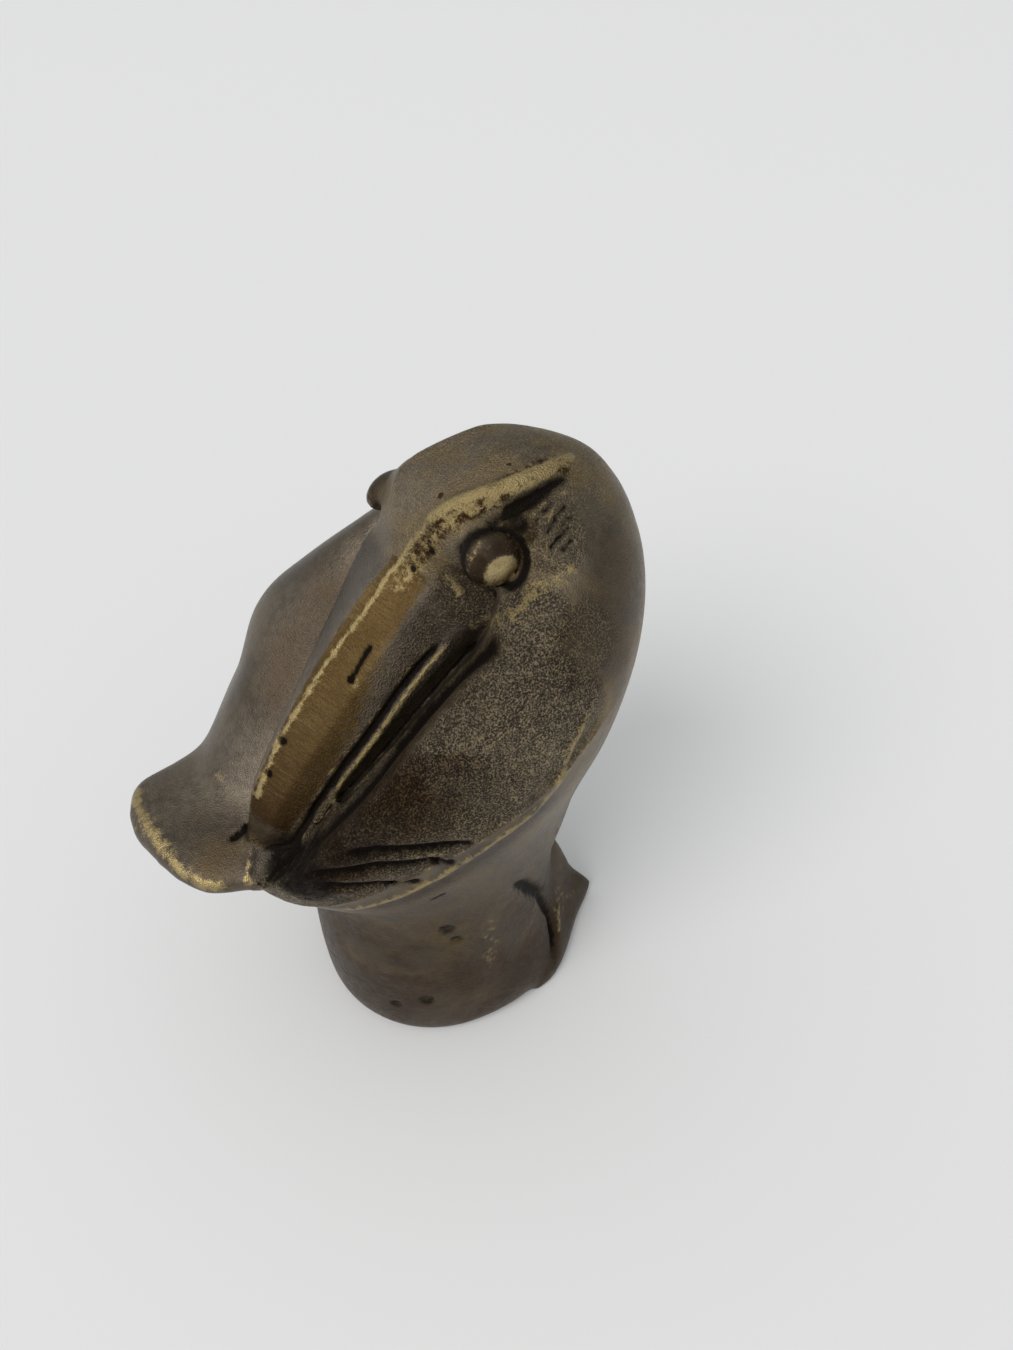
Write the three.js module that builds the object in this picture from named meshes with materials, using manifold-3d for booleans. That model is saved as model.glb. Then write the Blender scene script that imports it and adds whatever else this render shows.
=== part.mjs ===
// A resting pelican in cast brass: it stands upright with its head turned back, its bill laid along
// its back between the folded wings and its short square tail standing out behind.
// Millimetres, +Z up, +X towards the breast, +Y towards the bird's left.
// The origin is the middle of the standing face.
import * as THREE from 'three';
import { mergeVertices } from 'three/addons/utils/BufferGeometryUtils.js';
import Module from 'manifold-3d';

const wasm = await Module();
wasm.setup();

// Fit between any two pieces.
const SEAT_GAP = 0.3;

// Stand and body.
const STAND_RADIUS = 18.8;
const BELLY_SEAM = 34;
const NECK_TOP = 88;
const BREAST_REACH = 30.4;
const RUMP_REACH = 29.3;
const BODY_HALF_WIDTH = 24;
const STAND_SPIGOT_RADIUS = 7;
const STAND_SPIGOT_LENGTH = 8;

// Folded wings.
const WING_DEPTH = 9;
const WING_LIFT = 1.3;
const RIM_REAR_HEIGHT = 41.5;
const RIM_FRONT_HEIGHT = 69;
const SHOULDER_REACH = 21;
const FEATHER_GROOVES = 3;
const FEATHER_PITCH = 2.3;
const FEATHER_GROOVE_RADIUS = 0.65;
const WING_LUG_RADIUS = 2.4;
const WING_LUG_LENGTH = 4;

// Tail.
const TAIL_REACH = 40;
const TAIL_ROOT = 18;
const TAIL_HALF_WIDTH = 13.2;
const TAIL_THICKNESS = 5;
const TAIL_HEIGHT = 46.6;
const TAIL_TURN = 9;

// Head.
const HEAD_HALF_WIDTH = 12.2;
const HEAD_HALF_HEIGHT = 7.7;
const HEAD_SPIGOT_RADIUS = 4;
const HEAD_SPIGOT_LENGTH = 7;
const BROW_RADIUS = 1.1;
const BROW_LEAN = 45;
const BROW_GROOVE_RADIUS = 0.9;
const BROW_GROOVE_LEAN = 13;
const EYE_RADIUS = 2.8;
const EYE_SOCKET_RADIUS = 3.9;
const EYE_SHANK_LENGTH = 4;
const EYE_SHARE = 0.72;
const EYE_LIFT = 9;

// Bill.
const BILL_LENGTH = 42;
const BILL_DROP = 50;
const BILL_TURN = 20.5;
const BILL_ROLL = 10;
const BILL_ROOT_BACK = 1.8;
const BILL_ROOT_SIDE = 0.2;
const BILL_ROOT_SINK = 5;
const BILL_HALF_WIDTH = 8.2;
const BILL_HEIGHT = 7.4;
const LOWER_BILL_HEIGHT = 5;
const LOWER_BILL_LIP = 0.8;
const NAIL_DROP = 1.6;
const BILL_ARCH = 2;
const BILL_TENON_RADIUS = 2.2;
const BILL_TENON_LENGTH = 4.5;
const BILL_SIDE_ROOM = 0.9;

// Feet.
const TOE_REACH = 28;
const FOOT_HEIGHT = 24;
const FOOT_HALF_WIDTH = 14.5;
const FOOT_PEG_RADIUS = 1.8;
const FOOT_PEG_LENGTH = 4;

const RING_STEPS = 40;
const UP = new THREE.Vector3(0, 0, 1);

// Facets flatter than this are joined.
const FACET_MERGE = 0.02;

// Middle of the bill's ridge where it leaves the head.
const BILL_ROOT = new THREE.Vector3(-BILL_ROOT_BACK, BILL_ROOT_SIDE, NECK_TOP - BILL_ROOT_SINK);

// Bill axes: along it, across it towards the bird's right and out from the back.
const turnRad = THREE.MathUtils.degToRad(BILL_TURN);
const dropRad = THREE.MathUtils.degToRad(BILL_DROP);
const billHeading = new THREE.Vector3(-Math.cos(turnRad), -Math.sin(turnRad), 0);
const billAlong = billHeading.clone().multiplyScalar(Math.cos(dropRad));
billAlong.z = -Math.sin(dropRad);
const rollRad = THREE.MathUtils.degToRad(BILL_ROLL);
const billAcross = new THREE.Vector3(Math.sin(turnRad), -Math.cos(turnRad), 0);
const billOut = billHeading.clone().multiplyScalar(Math.sin(dropRad));
billOut.z = Math.cos(dropRad);
billAcross.applyAxisAngle(billAlong, rollRad);
billOut.applyAxisAngle(billAlong, rollRad);

// Height, then reach to the rear, reach to the front and half width of the stand and the body.
const TRUNK = [
  [0, STAND_RADIUS * 0.95, STAND_RADIUS * 0.95, STAND_RADIUS * 0.95],
  [1.2, STAND_RADIUS * 0.99, STAND_RADIUS * 0.99, STAND_RADIUS * 0.99],
  [BELLY_SEAM * 0.3, STAND_RADIUS, STAND_RADIUS, STAND_RADIUS],
  [BELLY_SEAM * 0.6, STAND_RADIUS, STAND_RADIUS, STAND_RADIUS * 0.98],
  [BELLY_SEAM * 0.83, RUMP_REACH * 0.64, BREAST_REACH * 0.63, BODY_HALF_WIDTH * 0.76],
  [BELLY_SEAM, RUMP_REACH * 0.69, BREAST_REACH * 0.69, BODY_HALF_WIDTH * 0.78],
  [bodyHeight(0.15), RUMP_REACH * 0.92, BREAST_REACH * 0.75, BODY_HALF_WIDTH * 0.86],
  [bodyHeight(0.3), RUMP_REACH * 0.96, BREAST_REACH * 0.825, BODY_HALF_WIDTH * 0.95],
  [bodyHeight(0.44), RUMP_REACH * 0.82, BREAST_REACH * 0.9, BODY_HALF_WIDTH],
  [bodyHeight(0.57), RUMP_REACH * 0.58, BREAST_REACH * 0.96, BODY_HALF_WIDTH * 0.97],
  [bodyHeight(0.69), RUMP_REACH * 0.35, BREAST_REACH * 0.99, BODY_HALF_WIDTH * 0.91],
  [bodyHeight(0.8), RUMP_REACH * 0.19, BREAST_REACH * 0.98, BODY_HALF_WIDTH * 0.82],
  [bodyHeight(0.91), RUMP_REACH * 0.05, BREAST_REACH * 0.93, BODY_HALF_WIDTH * 0.66],
  [NECK_TOP, -RUMP_REACH * 0.18, BREAST_REACH * 0.84, BODY_HALF_WIDTH * 0.42],
];

// Height of a point a given share of the way from the belly seam to the top of the neck.
function bodyHeight(share) {
  return BELLY_SEAM + (NECK_TOP - BELLY_SEAM) * share;
}

function smoothstep(value) {
  return THREE.MathUtils.smoothstep(value, 0, 1);
}

// Smooth value of one column of a station list at a position measured in its first column.
function sample(stations, column, at) {
  const last = stations.length - 1;
  let i = 0;
  while (i < last - 1 && stations[i + 1][0] < at) i += 1;
  const slope = (k) => {
    const a = stations[Math.max(k - 1, 0)];
    const b = stations[Math.min(k + 1, last)];
    return (b[column] - a[column]) / (b[0] - a[0]);
  };
  const from = stations[i];
  const to = stations[i + 1];
  const span = to[0] - from[0];
  const t = THREE.MathUtils.clamp((at - from[0]) / span, 0, 1);
  const rise = to[column] - from[column];
  const curve = (slope(i) * (1 - t) - slope(i + 1) * t) * span + rise * (2 * t - 1);
  return from[column] + rise * t + t * (1 - t) * curve;
}

// Closed skin through rings of equal point count, capped at both ends and facing outwards.
function loft(rings) {
  const count = rings[0].length;
  const points = rings.flat();
  const triangles = [];
  for (let r = 0; r + 1 < rings.length; r += 1) {
    for (let k = 0; k < count; k += 1) {
      const a = r * count + k;
      const b = r * count + ((k + 1) % count);
      triangles.push(a, b, b + count, a, b + count, a + count);
    }
  }
  const cap = (start, flip) => {
    const middle = new THREE.Vector3();
    for (let k = 0; k < count; k += 1) middle.addScaledVector(points[start + k], 1 / count);
    points.push(middle);
    for (let k = 0; k < count; k += 1) {
      const a = start + k;
      const b = start + ((k + 1) % count);
      triangles.push(points.length - 1, flip ? b : a, flip ? a : b);
    }
  };
  cap(0, true);
  cap((rings.length - 1) * count, false);
  const geometry = new THREE.BufferGeometry().setFromPoints(points);
  geometry.setIndex(triangles);
  return solid(geometry);
}

// A three.js geometry as a solid, turned to face outwards.
function solid(geometry) {
  const bare = geometry.clone();
  bare.deleteAttribute('normal');
  bare.deleteAttribute('uv');
  const merged = mergeVertices(bare, 1e-4);
  const make = (triVerts) => new wasm.Manifold(new wasm.Mesh({
    numProp: 3,
    vertProperties: new Float32Array(merged.attributes.position.array),
    triVerts,
  }));
  const triVerts = new Uint32Array(merged.index.array);
  const made = make(triVerts);
  return made.volume() < 0 ? make(triVerts.reverse()) : made;
}

// Round bar from one point along a direction.
function bar(start, direction, length, radius) {
  const geometry = new THREE.CylinderGeometry(radius, radius, length, 24);
  geometry.translate(0, length / 2, 0);
  const turn = new THREE.Quaternion().setFromUnitVectors(new THREE.Vector3(0, 1, 0), direction);
  geometry.applyQuaternion(turn);
  geometry.translate(start.x, start.y, start.z);
  return solid(geometry);
}

// Round rod of one radius along a path of points.
function rod(points, radius, steps) {
  const section = new THREE.Shape();
  section.absarc(0, 0, radius, 0, Math.PI * 2);
  const extrudePath = new THREE.CatmullRomCurve3(points);
  const options = { steps, curveSegments: 4, extrudePath, bevelEnabled: false };
  return solid(new THREE.ExtrudeGeometry(section, options));
}

// Stand and body outline at one height: reach to the rear and front, middle, half width and squareness.
function trunkLevel(z, grow) {
  const rear = -sample(TRUNK, 1, z) - grow;
  const front = sample(TRUNK, 2, z) + grow;
  const half = sample(TRUNK, 3, z) + grow;
  const share = THREE.MathUtils.clamp((z - BELLY_SEAM) / (NECK_TOP - BELLY_SEAM), 0, 1);
  const rearPower = 2.1 + 1.3 * Math.sin(Math.PI * share) ** 1.3;
  return { rear, front, half, middle: (rear + front) / 2, rearPower, frontPower: 1.75 };
}

// Half width of the body at a place along its length.
function trunkSide(x, z, grow) {
  const level = trunkLevel(z, grow);
  const behind = x < level.middle;
  const reach = behind ? level.middle - level.rear : level.front - level.middle;
  const power = behind ? level.rearPower : level.frontPower;
  const share = Math.min(Math.abs(x - level.middle) / reach, 1);
  return level.half * (1 - share ** power) ** (1 / power);
}

function trunkRing(z, grow) {
  const level = trunkLevel(z, grow);
  const ring = [];
  for (let k = 0; k < RING_STEPS; k += 1) {
    const turn = (k / RING_STEPS) * Math.PI * 2;
    const along = Math.cos(turn);
    const across = Math.sin(turn);
    const power = along < 0 ? level.rearPower : level.frontPower;
    const reach = along < 0 ? level.middle - level.rear : level.front - level.middle;
    const x = level.middle + Math.sign(along) * reach * Math.abs(along) ** (2 / power);
    const y = Math.sign(across) * level.half * Math.abs(across) ** (2 / power);
    ring.push(new THREE.Vector3(x, y, z));
  }
  return ring;
}

// Lift of the wing over the body, fading out towards the shoulder and the neck.
function wingLift(x, z) {
  return WING_LIFT * smoothstep((SHOULDER_REACH - x) / 18) * smoothstep((bodyHeight(0.86) - z) / 10);
}

function trunkSolid(low, high, levels, grow) {
  const rings = [];
  for (let i = 0; i <= levels; i += 1) {
    rings.push(trunkRing(THREE.MathUtils.lerp(low, high, i / levels), grow));
  }
  return loft(rings);
}

// Body with the raised wing surface all round.
function wingedSolid(low, high, levels) {
  const rings = [];
  for (let i = 0; i <= levels; i += 1) {
    const z = THREE.MathUtils.lerp(low, high, i / levels);
    const middle = trunkLevel(z, 0).middle;
    const ring = trunkRing(z, 0).map((point) => {
      const out = new THREE.Vector3(point.x - middle, point.y, 0).normalize();
      return point.addScaledVector(out, wingLift(point.x, z));
    });
    rings.push(ring);
  }
  return loft(rings);
}

// Height of the wing's lower rim along the body.
function rimHeight(x) {
  const share = (x + RUMP_REACH) / (SHOULDER_REACH + RUMP_REACH);
  return THREE.MathUtils.lerp(RIM_REAR_HEIGHT, RIM_FRONT_HEIGHT, share);
}

// Block that holds one wing: above the rim, behind the shoulder and on one side of the bill.
function wingBlock(side, grow) {
  const outline = new THREE.Shape();
  const rearEnd = -RUMP_REACH * 1.5;
  outline.moveTo(rearEnd, rimHeight(rearEnd) - grow);
  outline.lineTo(SHOULDER_REACH - 5, rimHeight(SHOULDER_REACH - 5) - grow);
  outline.quadraticCurveTo(
    SHOULDER_REACH + grow, RIM_FRONT_HEIGHT - grow,
    SHOULDER_REACH - 4 + grow, RIM_FRONT_HEIGHT + 7,
  );
  outline.lineTo(10, NECK_TOP - 5 + grow);
  outline.lineTo(rearEnd, NECK_TOP + 5);
  outline.closePath();
  const depth = BODY_HALF_WIDTH * 4;
  const upright = new THREE.ExtrudeGeometry(outline, { depth, bevelEnabled: false, curveSegments: 8 });
  upright.rotateX(Math.PI / 2);
  upright.translate(0, depth / 2, 0);
  const parting = new THREE.Shape();
  const inner = BILL_ROOT.y + side * (SEAT_GAP / 2 - grow);
  parting.moveTo(BILL_ROOT.x - depth, inner - depth * Math.tan(turnRad));
  parting.lineTo(BILL_ROOT.x, inner);
  parting.lineTo(depth, inner);
  parting.lineTo(depth, side * depth);
  parting.lineTo(-depth * 2, side * depth);
  const plan = new THREE.ExtrudeGeometry(parting, { depth: NECK_TOP * 2, bevelEnabled: false });
  return solid(upright).intersect(solid(plan));
}

function billPoint(along, across, out) {
  return BILL_ROOT.clone()
    .addScaledVector(billAlong, along)
    .addScaledVector(billAcross, across)
    .addScaledVector(billOut, out);
}

// Share of the bill's length, then shares of its half width, of its heights and of the flat crown.
const BILL_TAPER = [
  [0, 1, 1, 1],
  [0.25, 0.9, 0.95, 0.5],
  [0.55, 0.77, 0.84, 0],
  [0.8, 0.58, 0.66, 0],
  [0.93, 0.45, 0.54, 0],
  [1, 0.27, 0.36, 0],
];

function billSize(share) {
  const at = THREE.MathUtils.clamp(share, 0, 1);
  return {
    half: BILL_HALF_WIDTH * sample(BILL_TAPER, 1, at),
    wide: (BILL_HALF_WIDTH + LOWER_BILL_LIP) * sample(BILL_TAPER, 1, at),
    height: BILL_HEIGHT * sample(BILL_TAPER, 2, at),
    deep: LOWER_BILL_HEIGHT * sample(BILL_TAPER, 2, at),
    crown: sample(BILL_TAPER, 3, at),
    rise: BILL_ARCH * 4 * at * (1 - at) - NAIL_DROP * smoothstep((at - 0.82) / 0.18),
  };
}

// Loft along the bill between two shares of its length, with a ring of across and out values at each.
function billLoft(from, to, steps, ring) {
  const rings = [];
  for (let i = 0; i <= steps; i += 1) {
    const share = THREE.MathUtils.lerp(from, to, i / steps);
    const size = billSize(share);
    rings.push(ring(size).map(([across, out]) => billPoint(share * BILL_LENGTH, across, out + size.rise)));
  }
  return loft(rings);
}

// Roof-shaped upper bill: a sharp middle ridge, two broad upper faces and steep cheeks down to the mouth.
// The far face is flatter at the root, where the crown runs on to it.
function upperBillRing({ half, height, crown }) {
  const edge = half * (0.74 + 0.2 * crown);
  const fall = height * (0.42 - 0.24 * crown);
  return [
    [-half, -height], [-edge, -fall], [-edge / 2, -fall * 0.45], [0, 0],
    [half * 0.37, -height * 0.19], [half * 0.74, -height * 0.42], [half, -height], [0, -height],
  ];
}

function lowerBillRing({ half, wide, height, deep }) {
  const top = -height - SEAT_GAP;
  return [
    [-half, top], [0, top], [half, top], [wide, top - deep * 0.32], [wide * 0.84, top - deep],
    [0, top - deep], [-wide * 0.84, top - deep], [-wide, top - deep * 0.32],
  ];
}

// Room over the back that opens outwards on both sides of the bill, from a given floor up.
function openRing({ wide, height, crown }, floor) {
  const right = wide + BILL_SIDE_ROOM;
  const left = wide + SEAT_GAP;
  const nearRise = floor + BILL_SIDE_ROOM * 2;
  const farRise = BODY_HALF_WIDTH * (0.5 + 0.5 * crown);
  return [
    [-left, floor], [right, floor], [right, nearRise],
    [right + WING_DEPTH * 2, nearRise + WING_DEPTH * 1.3],
    [-left - BODY_HALF_WIDTH, farRise], [-left, Math.max(-height * 0.9, floor + SEAT_GAP)],
  ];
}

// Trough in the back that the bill lies in, with a shallower room behind it for the face.
function billTrough(end) {
  const start = (-SEAT_GAP * 2) / BILL_LENGTH;
  const face = billLoft(-0.25, 0, 4, (size) => openRing(size, -size.height - size.deep * 0.6));
  const bed = billLoft(start, end, 18, (size) => openRing(size, -size.height - size.deep - SEAT_GAP * 2));
  return face.add(bed);
}

const BILL_MIDDLE_OUT = -BILL_HEIGHT * 0.58;

// Middle line of the head from the nape to the bill.
const headLine = new THREE.CatmullRomCurve3([
  new THREE.Vector3(BREAST_REACH * 0.78, 0.3, NECK_TOP - 4),
  new THREE.Vector3(BREAST_REACH * 0.54, 0.3, NECK_TOP - 0.6),
  new THREE.Vector3(BREAST_REACH * 0.29, 1.1, NECK_TOP - 1.8),
  billPoint(-5, 0.2, BILL_MIDDLE_OUT),
  billPoint(-SEAT_GAP, 0, BILL_MIDDLE_OUT),
]);

// Share of the head's length, then shares of its half width and half height.
const HEAD_TAPER = [
  [0, 0.25, 0.28],
  [0.06, 0.48, 0.6],
  [0.3, 0.82, 0.97],
  [0.6, 1, 0.88],
  [0.82, 1, 0.8],
  [1, 0.86, 0.7],
];

// Middle of the head at one place, with the directions across it and out from it.
function headFrame(share) {
  const along = headLine.getTangent(share);
  const bend = smoothstep((share - 0.2) / 0.5);
  const across = new THREE.Vector3(Math.sin(turnRad * bend), -Math.cos(turnRad * bend), 0);
  across.applyAxisAngle(billAlong, rollRad * bend);
  const out = new THREE.Vector3().crossVectors(along, across).normalize();
  return { middle: headLine.getPoint(share), across, out };
}

// Distance from the middle of the bill's root to its outline in one direction across the bill.
function billReach(turn) {
  const outline = upperBillRing(billSize(0)).slice(0, -1);
  const low = outline[outline.length - 1];
  outline.push([low[0] * 0.8, low[1] - LOWER_BILL_HEIGHT], [-low[0] * 0.8, low[1] - LOWER_BILL_HEIGHT]);
  const aim = new THREE.Vector2(Math.cos(turn), Math.sin(turn));
  let reach = 0;
  outline.forEach(([x, y], i) => {
    const [x2, y2] = outline[(i + 1) % outline.length];
    const from = new THREE.Vector2(x, y - BILL_MIDDLE_OUT);
    const edge = new THREE.Vector2(x2 - x, y2 - y);
    const side = aim.cross(edge);
    const far = from.cross(edge) / side;
    const place = from.cross(aim) / side;
    if (far > 0 && place >= 0 && place <= 1) reach = Math.max(reach, far);
  });
  return reach;
}

function headPoint(share, turn, grow) {
  const { middle, across, out } = headFrame(share);
  const half = HEAD_HALF_WIDTH * sample(HEAD_TAPER, 1, share);
  const height = HEAD_HALF_HEIGHT * sample(HEAD_TAPER, 2, share);
  const round = 1 / Math.hypot(Math.cos(turn) / half, Math.sin(turn) / height);
  const reach = THREE.MathUtils.lerp(round, billReach(turn), smoothstep((share - 0.62) / 0.38)) + grow;
  return middle
    .addScaledVector(across, reach * Math.cos(turn))
    .addScaledVector(out, reach * Math.sin(turn));
}

function headSolid(grow) {
  const rings = [];
  const steps = 14;
  for (let i = 0; i <= steps; i += 1) {
    const ring = [];
    for (let k = 0; k < 28; k += 1) ring.push(headPoint(i / steps, (k / 28) * Math.PI * 2, grow));
    rings.push(ring);
  }
  return loft(rings);
}

// Seat of one eye on the head and the direction it looks in.
function eyeSeat(side) {
  const lift = THREE.MathUtils.degToRad(EYE_LIFT);
  const turn = side > 0 ? lift : Math.PI - lift;
  const seat = headPoint(EYE_SHARE, turn, 0);
  const { across, out } = headFrame(EYE_SHARE);
  const look = across.multiplyScalar(side).addScaledVector(out, 0.25).normalize();
  return { seat, look };
}

// A lathed profile of radius and height pairs set on a seat, its height along the look direction.
function lathedOn({ seat, look }, profile) {
  const geometry = new THREE.LatheGeometry(profile.map(([r, h]) => new THREE.Vector2(r, h)), 28);
  geometry.applyQuaternion(new THREE.Quaternion().setFromUnitVectors(new THREE.Vector3(0, 1, 0), look));
  geometry.translate(seat.x, seat.y, seat.z);
  return solid(geometry);
}

function eyePeg(side, grow) {
  const shank = EYE_RADIUS * 0.7 + grow;
  const head = EYE_RADIUS + grow;
  const end = -EYE_SHANK_LENGTH - grow;
  return lathedOn(eyeSeat(side), [
    [0, end], [shank, end], [shank, -1.6 - grow], [head, -1.3 - grow],
    [head, 0.1], [head * 0.86, 0.7], [head * 0.55, 1.15], [0, 1.4 + grow],
  ]);
}

function eyeSocket(side) {
  return lathedOn(eyeSeat(side), [
    [0, -1], [EYE_SOCKET_RADIUS * 0.72, -1], [EYE_SOCKET_RADIUS, 0.5], [EYE_SOCKET_RADIUS * 1.3, 4], [0, 4],
  ]);
}

// Line along the brow from the nape to the bill's ridge, lowered by an angle and sunk by a depth.
function browLine(side, from, to, lower, sunk) {
  const points = [];
  for (let i = 0; i <= 6; i += 1) {
    const share = THREE.MathUtils.lerp(from, to, i / 6);
    const towardsRidge = smoothstep((share - 0.65) / 0.3);
    const lean = THREE.MathUtils.degToRad(THREE.MathUtils.lerp(BROW_LEAN, 90, towardsRidge) - lower);
    points.push(headPoint(share, side > 0 ? lean : Math.PI - lean, -sunk));
  }
  return points;
}

function browRidge(side, grow) {
  return rod(browLine(side, 0.2, 0.95, 0, BROW_RADIUS * 0.5), BROW_RADIUS + grow, 10);
}

function browGroove(side) {
  return rod(browLine(side, 0.1, 0.6, BROW_GROOVE_LEAN, 0), BROW_GROOVE_RADIUS, 10);
}

// Share of the tail's length, then shares of its half width and thickness.
const TAIL_TAPER = [
  [0, 0.9, 1.1],
  [0.27, 1, 1.15],
  [0.5, 0.97, 1],
  [0.68, 0.88, 0.9],
  [0.84, 0.72, 0.82],
  [0.95, 0.57, 0.74],
  [1, 0.4, 0.45],
];

// Tail paddle along its own line, turned about its root.
function tailSolid(grow) {
  const turn = THREE.MathUtils.degToRad(TAIL_TURN);
  const length = TAIL_REACH - TAIL_ROOT;
  const rings = [];
  for (let i = 0; i <= 14; i += 1) {
    const share = i / 14;
    const at = THREE.MathUtils.lerp(-grow, length + grow, share);
    const half = TAIL_HALF_WIDTH * sample(TAIL_TAPER, 1, share) + grow;
    const thick = (TAIL_THICKNESS / 2) * sample(TAIL_TAPER, 2, share) + grow;
    const ring = [];
    for (let k = 0; k < 32; k += 1) {
      const a = (k / 32) * Math.PI * 2;
      const y = Math.sign(Math.cos(a)) * half * Math.abs(Math.cos(a)) ** 0.5;
      const z = TAIL_HEIGHT + Math.sign(Math.sin(a)) * thick * Math.abs(Math.sin(a)) ** 0.7;
      const point = new THREE.Vector3(-at, y, z).applyAxisAngle(UP, turn);
      point.x -= TAIL_ROOT;
      ring.push(point);
    }
    rings.push(ring);
  }
  return loft(rings);
}

// Prow of the two feet in front of the stand.
function feetSolid() {
  const shape = [
    [0, TOE_REACH - 0.8, 1], [2, TOE_REACH, 0.99], [FOOT_HEIGHT * 0.33, TOE_REACH * 0.865, 0.86],
    [FOOT_HEIGHT * 0.62, TOE_REACH * 0.78, 0.66], [FOOT_HEIGHT, STAND_RADIUS * 0.98, 0.4],
  ];
  const rings = [];
  const root = STAND_RADIUS * 0.58;
  for (let i = 0; i <= 10; i += 1) {
    const z = (FOOT_HEIGHT * i) / 10;
    const tip = sample(shape, 1, z);
    const half = FOOT_HALF_WIDTH * sample(shape, 2, z);
    const ring = [];
    for (let k = -8; k <= 8; k += 1) {
      const share = 1 - Math.abs(k) / 8;
      const back = 1 - share;
      const x = tip - (tip - root) * back;
      ring.push(new THREE.Vector3(x, Math.sign(k) * half * (1 - share ** 1.35), z));
    }
    rings.push(ring);
  }
  return loft(rings);
}

const metalLook = { roughness: 0.5, metalness: 1 };
const BRASS = new THREE.MeshStandardMaterial({ color: 0x6b5a3a, ...metalLook });
const WORN_BRASS = new THREE.MeshStandardMaterial({ color: 0xa8854a, ...metalLook });

const figure = new THREE.Group();
figure.name = 'pelican';

function addPiece(name, made, material) {
  const { vertProperties, triVerts, numProp } = made.simplify(FACET_MERGE).getMesh();
  const positions = [];
  for (let i = 0; i < vertProperties.length; i += numProp) {
    positions.push(...vertProperties.slice(i, i + 3));
  }
  const geometry = new THREE.BufferGeometry();
  geometry.setAttribute('position', new THREE.Float32BufferAttribute(positions, 3));
  geometry.setIndex([...triVerts]);
  geometry.computeVertexNormals();
  const mesh = new THREE.Mesh(geometry, material.clone());
  mesh.name = name;
  figure.add(mesh);
}

function standSpigot(grow) {
  const start = new THREE.Vector3(0, 0, BELLY_SEAM - 2);
  return bar(start, UP, STAND_SPIGOT_LENGTH + 2 + grow, STAND_SPIGOT_RADIUS + grow);
}

function headSpigot(grow) {
  const start = headFrame(0.3).middle;
  const sunk = HEAD_HALF_HEIGHT * 0.5;
  start.z -= sunk;
  return bar(start, UP.clone().negate(), sunk + HEAD_SPIGOT_LENGTH + grow, HEAD_SPIGOT_RADIUS + grow);
}

function wingLugs(side, grow) {
  const places = [[0, bodyHeight(0.51)], [SHOULDER_REACH * 0.52, bodyHeight(0.62)]];
  return places.map(([x, z]) => {
    const deep = trunkSide(x, z, -WING_DEPTH);
    const start = new THREE.Vector3(x, side * (deep + WING_DEPTH * 0.5), z);
    const inward = new THREE.Vector3(0, -side, 0);
    return bar(start, inward, WING_DEPTH * 0.5 + WING_LUG_LENGTH + grow, WING_LUG_RADIUS + grow);
  }).reduce((all, one) => all.add(one));
}

function footPeg(side, grow) {
  const start = new THREE.Vector3(STAND_RADIUS + 2.4, side * 2.6, FOOT_HEIGHT * 0.25);
  return bar(start, new THREE.Vector3(-1, 0, 0), 2.4 + FOOT_PEG_LENGTH + grow, FOOT_PEG_RADIUS + grow);
}

function billTenon(grow) {
  const sunk = 1.5;
  const start = billPoint(sunk, 0, BILL_MIDDLE_OUT);
  const length = sunk + BILL_TENON_LENGTH + grow;
  return bar(start, billAlong.clone().negate(), length, BILL_TENON_RADIUS + grow);
}

const tailRoom = tailSolid(SEAT_GAP);

// The wings end at the tail's sides, so their room for it runs on below it.
const wingTailRoom = tailRoom.add(tailRoom.translate([0, 0, -TAIL_THICKNESS / 2]));
const headRoom = headSolid(SEAT_GAP)
  .add(browRidge(1, SEAT_GAP))
  .add(browRidge(-1, SEAT_GAP))
  .add(eyeSocket(1))
  .add(eyeSocket(-1));
const trough = billTrough(1.08);
const longTrough = billTrough(1.3);
const billRoom = billLoft(-0.01, 1 + SEAT_GAP / BILL_LENGTH, 18, ({ wide, height, deep }) => {
  const side = wide + SEAT_GAP;
  const low = -height - deep - SEAT_GAP * 2;
  return [[-side, low], [side, low], [side, BILL_HEIGHT], [-side, BILL_HEIGHT]];
});

function featherGrooves(side) {
  const cuts = [];
  for (let row = 1; row <= FEATHER_GROOVES; row += 1) {
    const points = [];
    for (let i = 0; i <= 8; i += 1) {
      const share = i / 8;
      const x = THREE.MathUtils.lerp(-RUMP_REACH * 0.68, -10 + row * 4.5, share);
      const z = rimHeight(x) + row * FEATHER_PITCH * (1 - share ** 2);
      const out = trunkSide(x, z, 0) + wingLift(x, z);
      points.push(new THREE.Vector3(x, side * out, z));
    }
    cuts.push(rod(points, FEATHER_GROOVE_RADIUS, 12));
  }
  return cuts.reduce((all, one) => all.add(one));
}

function wing(side) {
  const core = trunkSolid(BELLY_SEAM - 6, NECK_TOP, 12, -WING_DEPTH);
  return wingedSolid(BELLY_SEAM, NECK_TOP, 20)
    .intersect(wingBlock(side, 0))
    .subtract(core)
    .subtract(side > 0 ? longTrough : trough)
    .subtract(wingTailRoom)
    .subtract(headRoom)
    .subtract(featherGrooves(side))
    .add(wingLugs(side, 0));
}

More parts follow.
